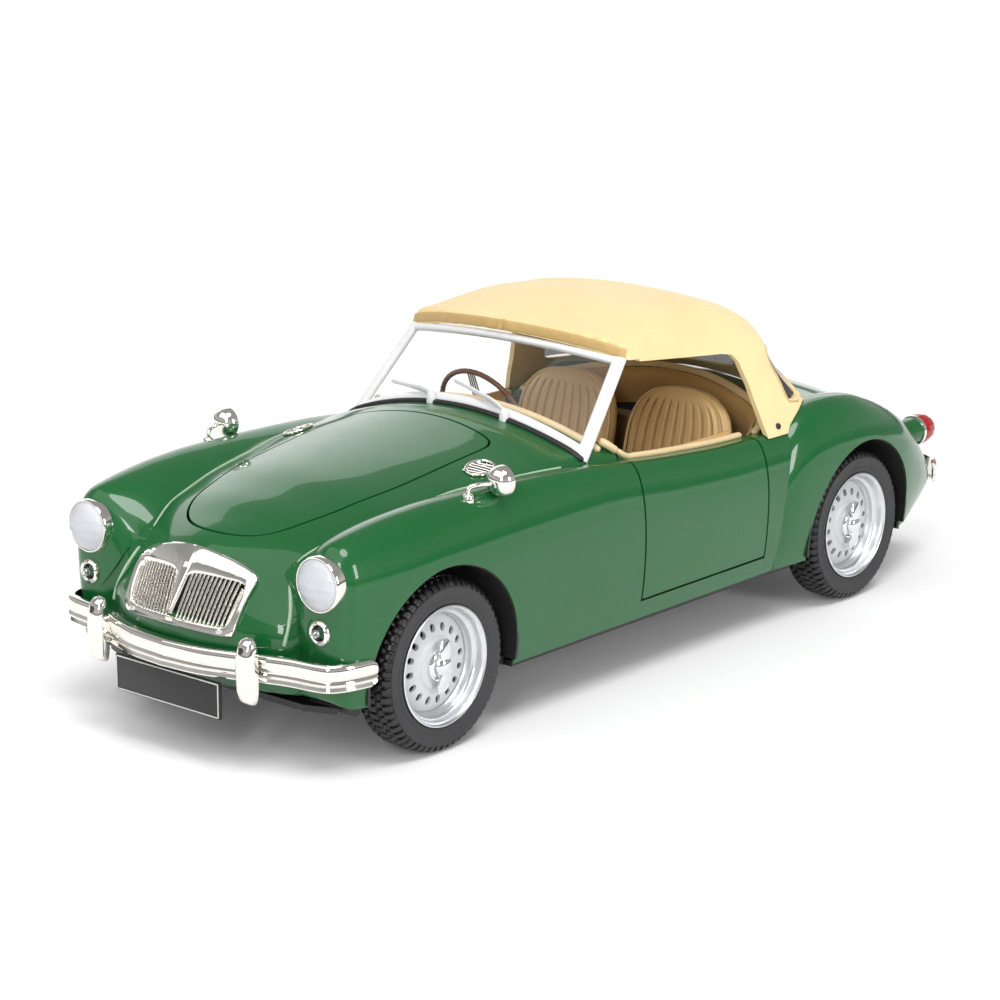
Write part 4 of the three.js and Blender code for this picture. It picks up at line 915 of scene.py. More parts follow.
def hood_strip(name, starts, way, width, height, closed=False):
    """A flat strip lying on the hood along the points struck from a line of starts."""
    hits = [on_hood(s, way) for s in starts]
    path = np.array([h for h in hits if h is not None])
    normals = np.array([HOOD_TREE.find_nearest(Vector(p) * MM)[1] for p in path])
    for _ in range(2):
        normals[1:-1] = (normals[:-2] + 2 * normals[1:-1] + normals[2:]) / 4
    section = [(-1, -0.6), (-0.9, 0.5), (-0.5, 1), (0.5, 1), (0.9, 0.5), (1, -0.6)]
    section = np.array(section) * [width / 2, height]
    rings = sweep_rings(path, section, normals, closed)
    strip = loft(name, rings, not closed)
    place(shade(strip, 50), "soft_top", HEM)


def hem_start(x, z):
    return x, -40, z - 0.0031 * x * x


hem = [hem_start(x, 66.5 - 0.7 * (x / 28.5) ** 8) for x in np.linspace(-28.7, 28.7, 90)]
hood_strip("hood_hem_front", hem, (0, 1, 0), 2.1, 0.18)
hood_strip("hood_hem_tab", [hem_start(x, 66.6) for x in (-0.5, 0, 0.5)], (0, 1, 0), 2.3, 0.3)
for name, side in SIDES:
    frame_ = quarter_frame(side)
    edge = grown(QUARTER, 0.5)
    starts = [tuple(frame_ @ Vector((a, b, 40))) for a, b in edge[::2]]
    inward = tuple(-(frame_.to_3x3() @ Vector((0, 0, 1))))
    hood_strip(f"quarter_binding_{name}", starts, inward, 0.45, 0.1, closed=True)
starts = [(x, 90, z) for x, z in grown(BACK_WINDOW, 0.5)[::2]]
hood_strip("back_binding", starts, (0, -1, 0), 0.5, 0.1, closed=True)


def stud(name, point, normal, radius, height, material_, body="soft_top"):
    """A small domed fastener standing on a surface."""
    profile = [(0, -0.3), (radius, -0.3), (radius, height * 0.45), (radius * 0.75, height * 0.85), (0, height)]
    obj = turned(name, profile, 20, (0, 0, 0), "z")
    turn = Vector(normal).to_track_quat("Z", "Y").to_matrix().to_4x4()
    obj.data.transform(Matrix.Translation(Vector(point) * MM) @ turn)
    place(shade(obj), body, material_)


for name, side in SIDES:
    p = on_hood((side * 60, 33, 42.6), (-side, 0, 0), 0.1)
    stud(f"hood_snap_{name}", p, (side, 0, 0.3), 0.65, 0.45, BLACK)


# ---------------------------------------------------------------- windscreen
def screen_point(u, v, lift=0.0):
    """A point of the curved windscreen: u runs from -1 to 1 across it and v from 0 to 1 up it."""
    low = np.array([31.2 * u, -27.4 + 2.2 * u * u, 52.2 - 7.2 * u * u])
    high = np.array([28.1 * u, -13.4 + 3.7 * u * u, 64.5 - 2.1 * u * u])
    p = low + (high - low) * v
    if lift:
        du = np.array([31.2 - 3.1 * v, 4.4 * u + 3.0 * u * v, -14.4 * u + 10.2 * u * v])
        n = np.cross(du, high - low)
        p = p - n / np.linalg.norm(n) * lift * (1 if n[1] > 0 else -1)
    return p


def screen_bar(name, uv, width, depth):
    """A bar of the screen's frame along (u, v) points, rounded, wider across the screen than deep."""
    path = spline([screen_point(u, v) for u, v in uv], 60)
    normals = np.array([screen_point(u, 0.5, 1) - screen_point(u, 0.5) for u in path[:, 0] / 30])
    a = np.arange(12) / 12 * 2 * PI
    section = np.stack([width / 2 * np.sign(np.cos(a)) * np.abs(np.cos(a)) ** 0.6,
                        depth / 2 * np.sign(np.sin(a)) * np.abs(np.sin(a)) ** 0.6], 1)
    return shade(loft(name, sweep_rings(path, section, normals)), 50)


us = np.linspace(-1, 1, 17)
frame_bars = [screen_bar("bar", [(u * 0.995, 0.965) for u in us], 1.5, 1.5),
              screen_bar("bar", [(u * 0.99, 0.055) for u in us], 2.1, 1.5)]
for side in (1, -1):
    frame_bars.append(screen_bar("bar", [(side * 0.962, v) for v in (-0.03, 0.3, 0.6, 1.0)], 2.7, 1.5))
screen = joined("screen_frame", *frame_bars)
place(screen, "root", SCREEN_METAL, ["windscreen_frame"])

seal_path = [on_body(31.4 * u, screen_point(u, 0)[1] - 1.15, 0.15) for u in np.linspace(-0.97, 0.97, 50)]
seal = tube("screen_seal", smoothed(seal_path, 2), 0.75, 10, squash=0.8)
place(shade(seal, 60), "root", RUBBER)

grid_u, grid_v = np.linspace(-0.945, 0.945, 41), np.linspace(0.09, 0.95, 15)
rings = [[screen_point(u, v, 0.25) for v in grid_v] + [screen_point(u, v, -0.25) for v in grid_v[::-1]]
         for u in grid_u]
place(shade(loft("screen_glass", rings), 40), "root", GLASS, ["windscreen_glass"])

for name, pivot_x in (("left", 12.4), ("right", -6.0)):
    u = pivot_x / 31.2
    pivot = screen_point(u, 0.0, 2.0)
    foot = turned("foot", [(0, -1.6), (1.0, -1.6), (1.0, 0.1), (0.7, 0.7), (0, 0.8)], 20, pivot, "z")
    arm_path = [pivot + [0, 0, 0.4], screen_point(u - 0.12, 0.09, 2.0), screen_point(u - 0.26, 0.14, 1.75)]
    arm = tube("arm", spline(arm_path, 16), 0.32, 8, squash=1.6)
    blade_path = spline([screen_point(u - t, 0.04 + t * 0.42, 1.35) for t in (0.08, 0.2, 0.32, 0.42, 0.5)], 24)
    blade = tube("blade", blade_path, 0.27, 8, squash=1.8)
    wipe = joined(f"wiper_{name}_parts", foot, arm, blade)
    place(shade(wipe), "root", SCREEN_METAL, [f"wiper_{name}"])


# ---------------------------------------------------------------- nose
def nose_point(x, z, lift=0.0):
    """The point on the nose straight behind (x, z) as seen from the front, lifted off the surface."""
    hit = NOSE_TREE.ray_cast(Vector((x, -140, z)) * MM, Vector((0, 1, 0)))
    return (np.array(hit[0]) + np.array(hit[1]) * lift * MM) / MM


NOSE_TREE = surface_tree(outer_parts[0])


def nose_normal(x, z):
    return np.array(NOSE_TREE.ray_cast(Vector((x, -140, z)) * MM, Vector((0, 1, 0)))[1])


def ring_between(name, inner_outline, outer_outline, profile):
    """A moulding on the nose between two outlines of the same number of points, crowned by a profile."""
    rows = []
    for (ax, az), (bx, bz) in zip(inner_outline, outer_outline):
        row = []
        for t, lift in profile:
            x, z = ax + (bx - ax) * t, az + (bz - az) * t
            row.append(nose_point(x, z) + nose_normal(x, z) * lift)
        rows.append(row)
    rings_ = np.array(rows)
    return loft(name, np.concatenate([rings_, rings_[:1]]), False)


def around(outline, count):
    """Evenly spaced points round a closed outline."""
    p = np.vstack([outline, outline[:1]])
    run = np.concatenate([[0], np.cumsum(np.linalg.norm(np.diff(p, axis=0), axis=1))])
    at = np.linspace(0, run[-1], count, endpoint=False)
    return np.stack([np.interp(at, run, p[:, 0]), np.interp(at, run, p[:, 1])], 1)


def radial(outline, angles, middle):
    """Where rays from a middle point meet an outline."""
    p = np.vstack([outline, outline[:1]]) - middle
    out = []
    for a in angles:
        d = np.array([math.sin(a), -math.cos(a)])
        best = 0
        for q, r in zip(p[:-1], p[1:]):
            e = r - q
            det = d[0] * -e[1] + d[1] * e[0]
            if abs(det) < 1e-9:
                continue
            t = (q[0] * -e[1] + q[1] * e[0]) / det
            s = (d[0] * q[1] - d[1] * q[0]) / det
            if t > 0 and -1e-6 <= s <= 1 + 1e-6:
                best = max(best, t)
        out.append(middle + d * best)
    return np.array(out)


SURROUND = symmetric((0, 24.9), (7, 24.7), (13.2, 24.2), (14.2, 25.2), (14.5, 29), (14.9, 33.2), (14.4, 34.6),
                     (10.5, 36.3), (5, 37.6), (0, 38.1))
SLOT = symmetric((0, 26.4), (11.8, 25.9), (12.6, 26.6), (13.1, 30), (13.3, 32.6), (12.6, 33.4), (6.5, 34.0),
                 (2.2, 34.0), (0.9, 32.8))
angles = np.linspace(0, 2 * PI, 160, endpoint=False)
middle = np.array([0.0, 31.0])
profile = [(0, -1.1), (0, 0.3), (0.06, 0.55), (0.2, 0.75), (0.7, 0.8), (0.88, 0.9), (0.97, 0.7), (1, 0.25),
           (1.0, -0.05), (0.5, -0.1)]
surround = ring_between("grille_moulding", radial(rounded(SLOT, 2), angles, middle),
                        radial(rounded(SURROUND, 2), angles, middle), profile)
place(shade(surround, 50), "root", CHROME, ["grille_surround"])


def slot_height(x):
    """Bottom and top of the grille opening at x."""
    column = radial(rounded(SLOT, 2), np.linspace(0, 2 * PI, 720, endpoint=False), middle)
    near = column[np.abs(column[:, 0] - x) < 0.35]
    return near[near[:, 1] < 31, 1].mean(), near[near[:, 1] > 31, 1].mean()


bars = []
for i in range(1, 14):
    for side in (1, -1):
        x_top, x_low = 1.15 + i * 0.905, 0.45 + i * 0.905
        low, high = slot_height(min(x_low, 12.2))[0] - 0.2, slot_height(min(x_top, 12.9))[1] + 0.2
        path = []
        for t in np.linspace(0, 1, 14):
            x, z = side * (x_low + (x_top - x_low) * t), low + (high - low) * t
            path.append(nose_point(x, z, -0.15))
        bars.append(tube("bar", path, 0.25, 8, up=(0, -1, 0), squash=2.2))
centre_bar = [nose_point(0, z, 0.15) for z in np.linspace(26.6, 35.2, 14)]
wide = np.linspace(0.4, 1.75, 14)
section = np.array([circle(w, 12) * [1, 0.9 / w] for w in wide])
bars.append(loft("bar", sweep_rings(centre_bar, section, (0, -1, 0))))
bars = joined("grille_bars", *bars)
place(shade(bars, 50), "root", CHROME, ["grille_slats"])
# A black sheet behind the slats: painted shade in the gaps of the grille.
shade_rows = [[nose_point(x, z, -1.9) for z in np.linspace(25.6, 35.6, 8)]
             for x in np.linspace(-14.2, 14.2, 24)]
shade_rings = [np.vstack([row, np.array(row[::-1]) + [0, 0.6, 0]]) for row in shade_rows]
place(shade(loft("grille_shade_back", shade_rings)), "root", BLACK)
for name, side in SIDES:
    p, n = nose_point(side * 11.2, 25.35, 1.0), nose_normal(side * 11.2, 25.35)
    stud(f"grille_screw_{name}", p, n, 0.45, 0.3, SATIN, "root")


def lens(name, at, radius, bulge, ribs):
    """A round moulded lens with upright ribs on a domed face."""
    n = 64
    a = np.arange(n) / n * 2 * PI
    rows = [np.stack([at[0] + r * radius * np.cos(a), 0 * a + at[1], at[2] + r * radius * np.sin(a)], 1)
            for r in np.linspace(1, 0.02, 26)]
    rows = np.array(rows)
    x, z = (rows[..., 0] - at[0]) / radius, (rows[..., 2] - at[2]) / radius
    r2 = x * x + z * z
    dome = bulge * np.sqrt(np.maximum(1 - 0.86 * r2, 0)) - bulge * math.sqrt(0.14)
    wave = (0.07 * np.cos(x * ribs * PI) * np.clip((0.86 - r2) * 6, 0, 1)
            + 0.05 * np.cos(z * 5 * PI) * np.clip((0.8 - r2) * 6, 0, 1))
    rows[..., 1] -= dome + wave
    shade_back = rows[:1] + [0, 0.9, 0]
    return loft(name, np.concatenate([shade_back, rows]))


# Turned lamp parts: name, profile, segments, sharp angle, slot, material and the CAD node it stands for.
HEADLAMP_PARTS = (
    ("headlamp_bowl", [(0, 1.5), (1.4, 1.3), (3.2, 0.5), (4.5, -0.5), (4.55, -0.3), (4.55, 1.7), (0, 1.9)],
     48, 35, "chrome", CHROME, None),
    ("headlamp_bulb", [(0, -1.7), (0.5, -1.6), (0.75, -1.1), (0.7, 0.2), (0.3, 1.6), (0, 1.6)],
     20, 35, "chrome", SATIN, None))
SIDELAMP_PARTS = (
    ("sidelamp_rim", [(0, 1.2), (2.2, 1.2), (2.4, 0.3), (2.4, -0.3), (2.2, -0.75), (1.85, -0.95), (1.55, -0.8),
                      (1.3, -0.3), (0.9, 0.3), (0, 0.4)], 48, 50, "chrome", CHROME, "sidelamp"),
    ("sidelamp_lens", [(0, 0.4), (0.85, 0.4), (0.85, -1.0), (0.7, -1.7), (0.35, -2.05), (0, -2.1)],
     32, 35, "clear_plastic", LENS, None),
    ("sidelamp_dish", [(0.85, 0.5), (1.6, -0.62), (1.5, -0.7), (1.2, -0.3), (0.9, 0.2)],
     40, 60, "black_plastic", BLACK, None))
BEZEL = [(4.5, 1.4), (5.1, 1.4), (5.2, 0.5), (5.2, -0.2), (5.15, -0.6), (5.0, -0.85), (4.82, -0.85),
         (4.7, -0.7), (4.6, -0.4)]
TAIL_LENS = [(2.6, 96.2), (3.28, 96.2), (3.4, 96.7), (3.35, 98.2), (3.15, 99.6), (2.8, 100.6), (2.3, 101.5),
             (1.6, 102.3), (0.8, 102.8), (0, 102.9), (0, 98.6), (2.6, 98.6)]
TAIL_RIM = [(2.95, 95.6), (3.35, 95.6), (3.45, 95.9), (3.45, 96.3), (3.2, 96.4)]


def lamp_parts(parts, name, at):
    for part, profile_, segments, angle, slot, material_, node in parts:
        obj = turned(f"{part}_{name}", profile_, segments, at, "y")
        place(shade(obj, angle), "root", material_, [f"{node}_{name}"] if node else ())


def flutes(a, r, s):
    """Shallow flutes round the tail lens."""
    return 0.05 * np.cos(a * 14) * np.clip(r - 1, 0, 1)


for name, side in SIDES:
    lamp, small = HEADLAMP * [side, 1, 1], SIDELAMP * [side, 1, 1]
    bezel = turned("bezel", BEZEL, 72, lamp, "y")
    place(shade(bezel, 50), "root", CHROME, [f"headlamp_bezel_{name}"])
    glass = lens(f"headlamp_glass_{name}", lamp + [0, -0.55, 0], 4.75, 3.3, 17)
    place(shade(glass, 70), "root", LAMP, [f"headlamp_lens_{name}"])
    lamp_parts(HEADLAMP_PARTS, name, lamp)
    lamp_parts(SIDELAMP_PARTS, name, small)
    tail = (TAIL_LAMP_X * side, 0, TAIL_LAMP_Z)
    red = turned(f"tail_lens_{name}", TAIL_LENS, 56, tail, "y", bump=flutes)
    place(shade(red, 50), "root", RED, [f"tail_lamp_{name}"])
    ring = turned(f"tail_rim_{name}", TAIL_RIM, 56, tail, "y")
    place(shade(ring, 50), "root", CHROME)


# ---------------------------------------------------------------- bumpers, plate, mirrors and vents
def bumper(name, half, count, node):
    """A pressed blade with rolled edges and two low ribs along its lower half."""
    half = spline(half, count)
    full = np.vstack([half[:0:-1] * [-1, 1], half])
    path = np.column_stack([full, np.full(len(full), BUMPER_Z)])
    way = np.sign(half[0][1])
    t = np.abs(np.linspace(-1, 1, len(path)))
    face = [(-2.62, -1.0), (-2.72, -0.6), (-2.6, -0.25), (-2.3, -0.1), (-1.95, -0.22), (-1.65, -0.34),
            (-1.35, -0.14), (-1.0, 0.0), (-0.65, -0.14), (-0.4, -0.3), (-0.1, -0.12), (0.4, 0.0), (1.1, 0.02),
            (1.8, -0.06), (2.3, -0.22), (2.6, -0.5), (2.72, -0.9), (2.62, -1.3)]
    rings = []
    along = np.gradient(path, axis=0)
    along /= np.linalg.norm(along, axis=1)[:, None]
    for p, d, u in zip(path, along, t):
        out = np.array([d[1], -d[0], 0]) * (1 if way < 0 else -1)
        if out[1] * way < 0 and abs(out[1]) > 0.2:
            out = -out
        flange = 2.2 - 1.35 * u * u
        slim = 1 if u < 0.97 else max(1 - ((u - 0.97) / 0.03) ** 2 * 0.3, 0.7)
        row = [p + out * o + [0, 0, z * slim * 0.955] for z, o in face]
        row += [p - out * o + [0, 0, z * slim] for z, o in (
            (2.5, flange), (2.2, flange), (2.0, 0.75), (-2.0, 0.75), (-2.2, flange), (-2.5, flange))]
        rings.append(row)
    place(shade(loft(name, rings), 40), "root", CHROME, [node])


FRONT_BUMPER = [(0, -109.6), (8, -108.9), (14, -107.3), (20, -105.1), (26, -103.2), (31.5, -102.3),
                (34.4, -101.2), (36.2, -98.6), (37.2, -95), (37.7, -91.8)]
REAR_BUMPER = [(0, 109.6), (10, 108.9), (20, 107), (27, 104.8), (31, 102.4), (33, 99.6)]
bumper("front_blade", FRONT_BUMPER, 60, "front_bumper")
bumper("rear_blade", REAR_BUMPER, 44, "rear_bumper")


def overrider(name, x, shade_back):
    """An upright guard with a rounded nose, narrow at its top and bottom."""
    rows = []
    for z in np.concatenate([[-6.3, -6.2], np.linspace(-6.0, 5.6, 22), [5.85, 6.0, 6.1]]):
        half = np.interp(z, [-6.3, -5.9, -4, 0, 3, 4.9, 5.8, 6.1], [1.3, 1.75, 2.1, 2.2, 2.1, 1.8, 1.2, 0.4])
        deep = np.interp(z, [-6.3, -5.7, -4, 0, 3, 5.0, 5.8, 6.1], [0.8, 1.8, 2.4, 2.6, 2.5, 1.9, 1.2, 0.3])
        a = np.linspace(0, PI, 17)
        side = half * np.sign(np.cos(a)) * np.abs(np.cos(a)) ** 0.75
        out = deep * np.sin(a) ** 0.75
        rows.append(np.stack([x + side, shade_back - out, np.full(17, BUMPER_Z + z)], 1))
    return loft(name, rows)


for name, side in SIDES:
    x = OVERRIDER_X * side
    guard = overrider(f"guard_{name}", x, -105.9)
    boolean(guard, turned("cut", [(0, 0), (0.6, 0), (0.6, 3), (0, 3)], 20, (x, -109.2, OVERRIDER_HOLE_Z), "y"))
    place(shade(guard, 50), "root", CHROME, [f"front_overrider_{name}"])
    # A black disc set inside the guard's hole: painted shade down the hole.
    hole_shade = turned(f"guard_hole_shade_{name}", [(0, 0), (0.6, 0), (0.6, 0.5), (0, 0.5)], 20,
                  (x, -107.7, OVERRIDER_HOLE_Z), "y")
    place(shade(hole_shade), "root", BLACK)

plate = block("plate_panel", (27.4, 0.7, 6.9), (0, -107.6, 13.2), 0.12)
place(plate, "root", PLATE, ["number_plate"])
edge = [(-13.4, 10.05), (13.4, 10.05), (13.4, 16.35), (-13.4, 16.35)]
line = [(x, -107.97, z) for x, z in around(np.array(edge), 128)]
border = tube("plate_border", line, 0.13, 6, up=(0, -1, 0), closed=True)
place(shade(border, 60), "root", WHITE)

MIRROR_FOOT = [(0, -1.4), (1.05, -1.4), (1.05, -0.2), (0.8, 0.1), (0, 0.3)]
MIRROR_ARM = [(34.2, -63.6, 46.2), (34.2, -63.5, 47.6), (34.8, -62.2, 48.1), (36.0, -59.6, 48.1)]
MIRROR_BOWL = [(0, 0), (1.2, 0.08), (2.1, 0.6), (2.7, 1.4), (2.95, 2.3), (3.0, 3.0), (2.8, 3.15), (2.6, 3.0),
               (0, 2.95)]


def mirror(name, side):
    flip = np.array([side, 1, 1])
    foot = turned("foot", MIRROR_FOOT, 24, flip * (34.2, -63.6, 46.5), "z")
    arm = tube("arm", spline(MIRROR_ARM * flip, 30), 0.42, 10)
    bowl = turned("bowl", MIRROR_BOWL, 48, flip * (36.2, -59.1, 48.1), "y")
    whole = joined(f"mirror_{name}", foot, arm, bowl)
    place(shade(whole, 45), "root", CHROME, [f"wing_mirror_{name}"])


def vent(name, side):
    """A scuttle vent: an oval ring with five slanted slats over a floor painted black as shade, lying on the
    body.
    """
    def at(u, v, lift):
        return on_body(side * (VENT_X + u), VENT_Y + v, lift)

    turns = np.linspace(0, 2 * PI, 48, endpoint=False)
    oval = [(VENT_HALF_WIDTH * math.cos(a), VENT_HALF_LENGTH * math.sin(a)) for a in turns]
    grid = [tube("ring", [at(u, v, 0.3) for u, v in oval], 0.34, 8, closed=True)]
    for k in np.linspace(-2.1, 2.1, 5):
        reach = VENT_HALF_WIDTH * math.sqrt(1 - (k / VENT_HALF_LENGTH) ** 2) * 0.92
        slat = [at(reach * t, k + t, 0.22) for t in (-1, 0, 1)]
        grid.append(tube("slat", spline(slat, 8), 0.2, 6))
    place(shade(joined(f"vent_{name}", *grid), 50), "root", CHROME, [f"scuttle_vent_{name}"])
    # The floor under the slats is painted black as shade inside the vent.
    floor_rows = [[at(u * r, v * r, 0.1) for u, v in oval] for r in (1.0, 0.66, 0.33, 0.02)]
    painted_shade_floor = loft(f"vent_shade_floor_{name}", [[p - [0, 0, 0.5] for p in floor_rows[0]]] + floor_rows)
    place(shade(painted_shade_floor), "root", BLACK)


for name, side in SIDES:
    mirror(name, side)
    vent(name, side)


# ---------------------------------------------------------------- wheels
def tread(a, r, s):
    """Chunky tread: lugs notched over the shoulders, zigzag grooves and cross cuts on the crown."""
    turns, out, quarter = a * TREAD_LUGS / (2 * PI), np.abs(s), 0.25 * np.sign(s)

    def ramp(value, width):
        return np.clip(value / width, 0, 1)

    def off_middle(shift):
        return np.abs((turns + shift) % 1 - 0.5)

    lug = ramp(0.2 - off_middle(quarter), 0.04) * ramp(out - 2.2, 0.3) * ramp(r - 15.0, 0.3)
    zigzag = 0.4 * np.abs(turns * 2 % 2 - 1)
    groove = np.clip(1.6 - np.abs(out - 1.0 - zigzag) / 0.14, 0, 1)
    cut = ramp(0.16 - off_middle(quarter + 0.5), 0.04) * ramp(out - 1.3, 0.2) * ramp(2.5 - out, 0.2)
    centre_cut = ramp(0.14 - off_middle(0), 0.04) * ramp(0.9 - out, 0.2)
    return -np.maximum(0.6 * lug, 0.5 * ramp(r - 15.4, 0.5) * np.maximum.reduce([groove, cut, centre_cut]))


# Wheel profiles: distance from the axle, and distance outwards along it.
SIDE_PROFILE = [(11.4, -3.4), (11.4, 3.4), (11.6, 3.75), (12.0, 4.0), (12.35, 4.02), (12.45, 4.12),
                (12.7, 4.14), (12.8, 4.06), (13.6, 4.22), (14.6, 4.22), (14.75, 4.3), (14.9, 4.26),
                (15.0, 4.05), (14.9, 3.5), (14.9, -3.5), (15.0, -4.05), (14.8, -4.2), (13.6, -4.22),
                (12.6, -4.1), (11.8, -3.9)]
CROWN = np.linspace(2.95, -2.95, 49)
TREAD_PROFILE = np.vstack([
    [(14.6, -3.8), (14.6, 3.8), (14.8, 4.05), (15.0, 4.12), (15.2, 4.08), (15.5, 3.95), (15.8, 3.7),
     (16.05, 3.4), (16.2, 3.15)],
    np.stack([TYRE_R - 0.032 * CROWN ** 2, CROWN], 1),
    [(16.2, -3.15), (16.05, -3.4), (15.8, -3.7), (15.5, -3.95), (15.2, -4.08), (15.0, -4.12), (14.8, -4.05)]])
LIP_PROFILE = [(9.7, -3.6), (11.3, -3.6), (11.3, 3.35), (11.5, 3.7), (11.45, 4.05), (11.2, 4.15), (10.85, 3.9),
               (10.6, 3.2), (10.5, 2.3), (10.25, 1.95), (9.8, 1.7), (9.6, 1.05), (9.4, 0.62), (9.3, 0.5),
               (9.25, -1.5)]
DISC_PROFILE = [(0, 1.0), (8.0, 0.6), (9.35, -0.6), (9.5, -0.1), (9.3, 0.2), (8.7, 0.75), (7.4, 1.3),
                (6.3, 1.5), (5.3, 1.6), (4.8, 1.75), (4.5, 2.1), (4.2, 2.15), (3.6, 2.05), (3.0, 2.1),
                (2.7, 2.4), (0, 2.4)]
DISC_BACK = [(0, -1.6), (9.2, -1.6), (9.2, -0.9), (8, 0.35), (0, 0.75)]
NUT_PROFILE = [(0, 2.3), (2.9, 2.3), (3.0, 2.6), (2.7, 2.95), (2.2, 3.1), (2.1, 3.6), (1.7, 4.1), (1.1, 4.5),
               (0, 4.65)]


def tyre(name, at, way, body):
    wall = turned(f"tyre_{name}_wall", SIDE_PROFILE, 128, at, "x", way)
    place(shade(wall, 40), body, SIDEWALL, [f"tyre_{name}"])
    band = turned(f"tyre_{name}_tread", TREAD_PROFILE, 704, at, "x", way, tread)
    place(shade(band, 40), body, TREAD)


def rim(name, at, way, body):
    """The bright lip, the slotted silver disc and the black back behind it, painted shade seen through the
    slots.
    """
    lip = turned(f"rim_{name}_lip", LIP_PROFILE, 96, at, "x", way)
    place(shade(lip, 40), body, RIM_METAL, [f"rim_{name}"])
    disc = turned(f"rim_{name}_disc", DISC_PROFILE, 96, at, "x", way)
    slot = [(6.95 + 0.6 * math.cos(t) + 0.2 * math.copysign(1, math.cos(t)), 0.62 * math.sin(t))
            for t in np.linspace(0, 2 * PI, 24, endpoint=False)]
    holes = []
    for i in range(WHEEL_SLOTS):
        a = i / WHEEL_SLOTS * 2 * PI + 0.1
        c, s = math.cos(a), math.sin(a)
        rows = [[at + (d * way, u * c - v * s, u * s + v * c) for u, v in slot] for d in (-2, 3)]
        holes.append(loft("hole", rows))
    boolean(disc, joined("holes", *holes))
    # The black back behind the disc is painted shade, seen through the slots.
    shade_back = turned(f"rim_{name}_back", DISC_BACK, 48, at, "x", way)
    place(shade(shade_back), body, BLACK)
    place(shade(disc, 35), body, WHEEL_SILVER)


def knock_off_nut(name, at, way, body):
    """A stepped dome with two ears swept round the axle."""
    parts = [turned("hub", NUT_PROFILE, 48, at, "x", way)]
    a = np.arange(14) / 14 * 2 * PI
    across, deep = (np.sign(v) * np.abs(v) ** 0.7 for v in (np.cos(a), np.sin(a)))
    for s in (1, -1):
        rows = []
        for t in np.linspace(0, 1, 14):
            tip = 1 if t < 0.85 else 1 - ((t - 0.85) / 0.15) ** 2 * 0.55
            u = across * (1.1 + 0.45 * math.sin(t * PI)) * tip + t * t * 0.5 * s
            height = 3.75 - 0.5 * t * t + deep * (0.55 - 0.15 * t)
            rows.append(at + np.stack([height * way, u, 0 * u + s * (1.2 + 3.8 * t)], 1))
        parts.append(loft("ear", rows))
    nut = joined(f"spinner_{name}_nut", *parts)
    place(shade(nut, 45), body, NUT, [f"spinner_{name}"])


def wheel(name, y, x, way, body):
    at = np.array([x * way, y, TYRE_R])
    for part in (tyre, rim, knock_off_nut):
        part(name, at, way, body)


# Dark inner arches, trimmed to the inside of the body.
body_core = helper(union(body_solids(0.35)))
for end, y, inner in (("front", FRONT_AXLE_Y, 22), ("rear", REAR_AXLE_Y, 24)):
    for side, way in SIDES:
        ring = [(19.0, inner), (19.0, 42), (19.6, 42), (19.6, inner)]
        liner = turned(f"arch_liner_{end}_{side}", ring, 96, (0, y, TYRE_R), "x", way)
        boolean(liner, body_core, "INTERSECT", keep=True)
        boolean(liner, prism("cut", [(-140, -10), (140, -10), (140, 13.4), (-140, 13.4)], -60, 60, "x"))
        place(shade(liner), "root", BLACK)

for side, way in SIDES:
    wheel(f"front_{side}", FRONT_AXLE_Y, FRONT_WHEEL_X, way, f"wheel_front_{side}")
    wheel(f"rear_{side}", REAR_AXLE_Y, REAR_WHEEL_X, way, "rear_wheelset")


# ---------------------------------------------------------------- interior
SEAT_T = np.linspace(-1, 1, 181)  # across a seat, from edge to edge
SEAT_FLAT = np.clip(1 - np.abs(SEAT_T) ** 8, 0, 1) ** 0.5
SEAT_GROOVES = (np.exp(-(((SEAT_T / 0.86 * 4.5 + 0.5) % 1 - 0.5) / 0.11) ** 2)
                * np.clip((0.86 - np.abs(SEAT_T)) * 14, 0, 1))


def seat_half_width(z):
    return np.interp(z, [15, 27, 33, 38, 41, 43.5, 45.5, 47.2, 48.3, 48.9],
                     [11.6, 12.2, 12.8, 12.8, 12.5, 11.7, 10.3, 8.2, 5.4, 1.5])


def seat_back(x):
    """The fluted back rest, with a raised roll round its edge."""
    rows = []
    roll = 0.35 * np.exp(-((np.abs(SEAT_T) - 0.87) / 0.03) ** 2)
    zs = np.concatenate([[15.2], np.linspace(16, 44, 34), np.linspace(44.6, 48.2, 14), [48.5, 48.75, 48.88]])
    for z in zs:
        front = np.interp(z, [15, 26, 47.4, 48.9], [20.0, 20.9, 26.1, 27.6])
        shade_back = np.interp(z, [15, 44, 47.5, 48.9], [24.0, 29.3, 29.2, 28.0])
        grooves = SEAT_GROOVES * np.clip((46.4 - z) * 0.8, 0, 1) * np.clip((z - 27) / 2, 0, 1)
        rounding = (shade_back - front) * 0.5 * (1 - SEAT_FLAT)
        front_y = front - 0.75 * SEAT_FLAT + 1.1 * grooves + roll + rounding
        rear_y = shade_back + 0.3 * SEAT_FLAT - rounding
        u = x + SEAT_T * seat_half_width(z)
        faces = [np.stack([u, v, 0 * u + z], 1) for v in (front_y, rear_y)]
        rows.append(np.vstack([faces[0], faces[1][::-1]]))
    return loft("shade_back", rows)


def seat_cushion(x):
    """The fluted cushion, rounded over at its front."""
    rows = []
    for y in np.concatenate([[2.3, 2.5, 3, 3.7], np.linspace(4.6, 22.4, 20)]):
        width = 11.6 * np.interp(y, [2.3, 3, 5, 22], [0.93, 0.98, 1, 1])
        grooves = SEAT_GROOVES * np.clip((y - 4.5) / 1.2, 0, 1)
        top = np.interp(y, [2.3, 2.8, 4, 7, 22], [22.5, 24.6, 26.2, 26.9, 26.2])
        top = top - 0.4 * grooves - 2.2 * (1 - SEAT_FLAT)
        upper = np.stack([x + SEAT_T * width, 0 * SEAT_T + y, top], 1)
        rows.append(np.vstack([upper, [(x + width, y, 15.2), (x - width, y, 15.2)]]))
    return loft("cushion", rows)


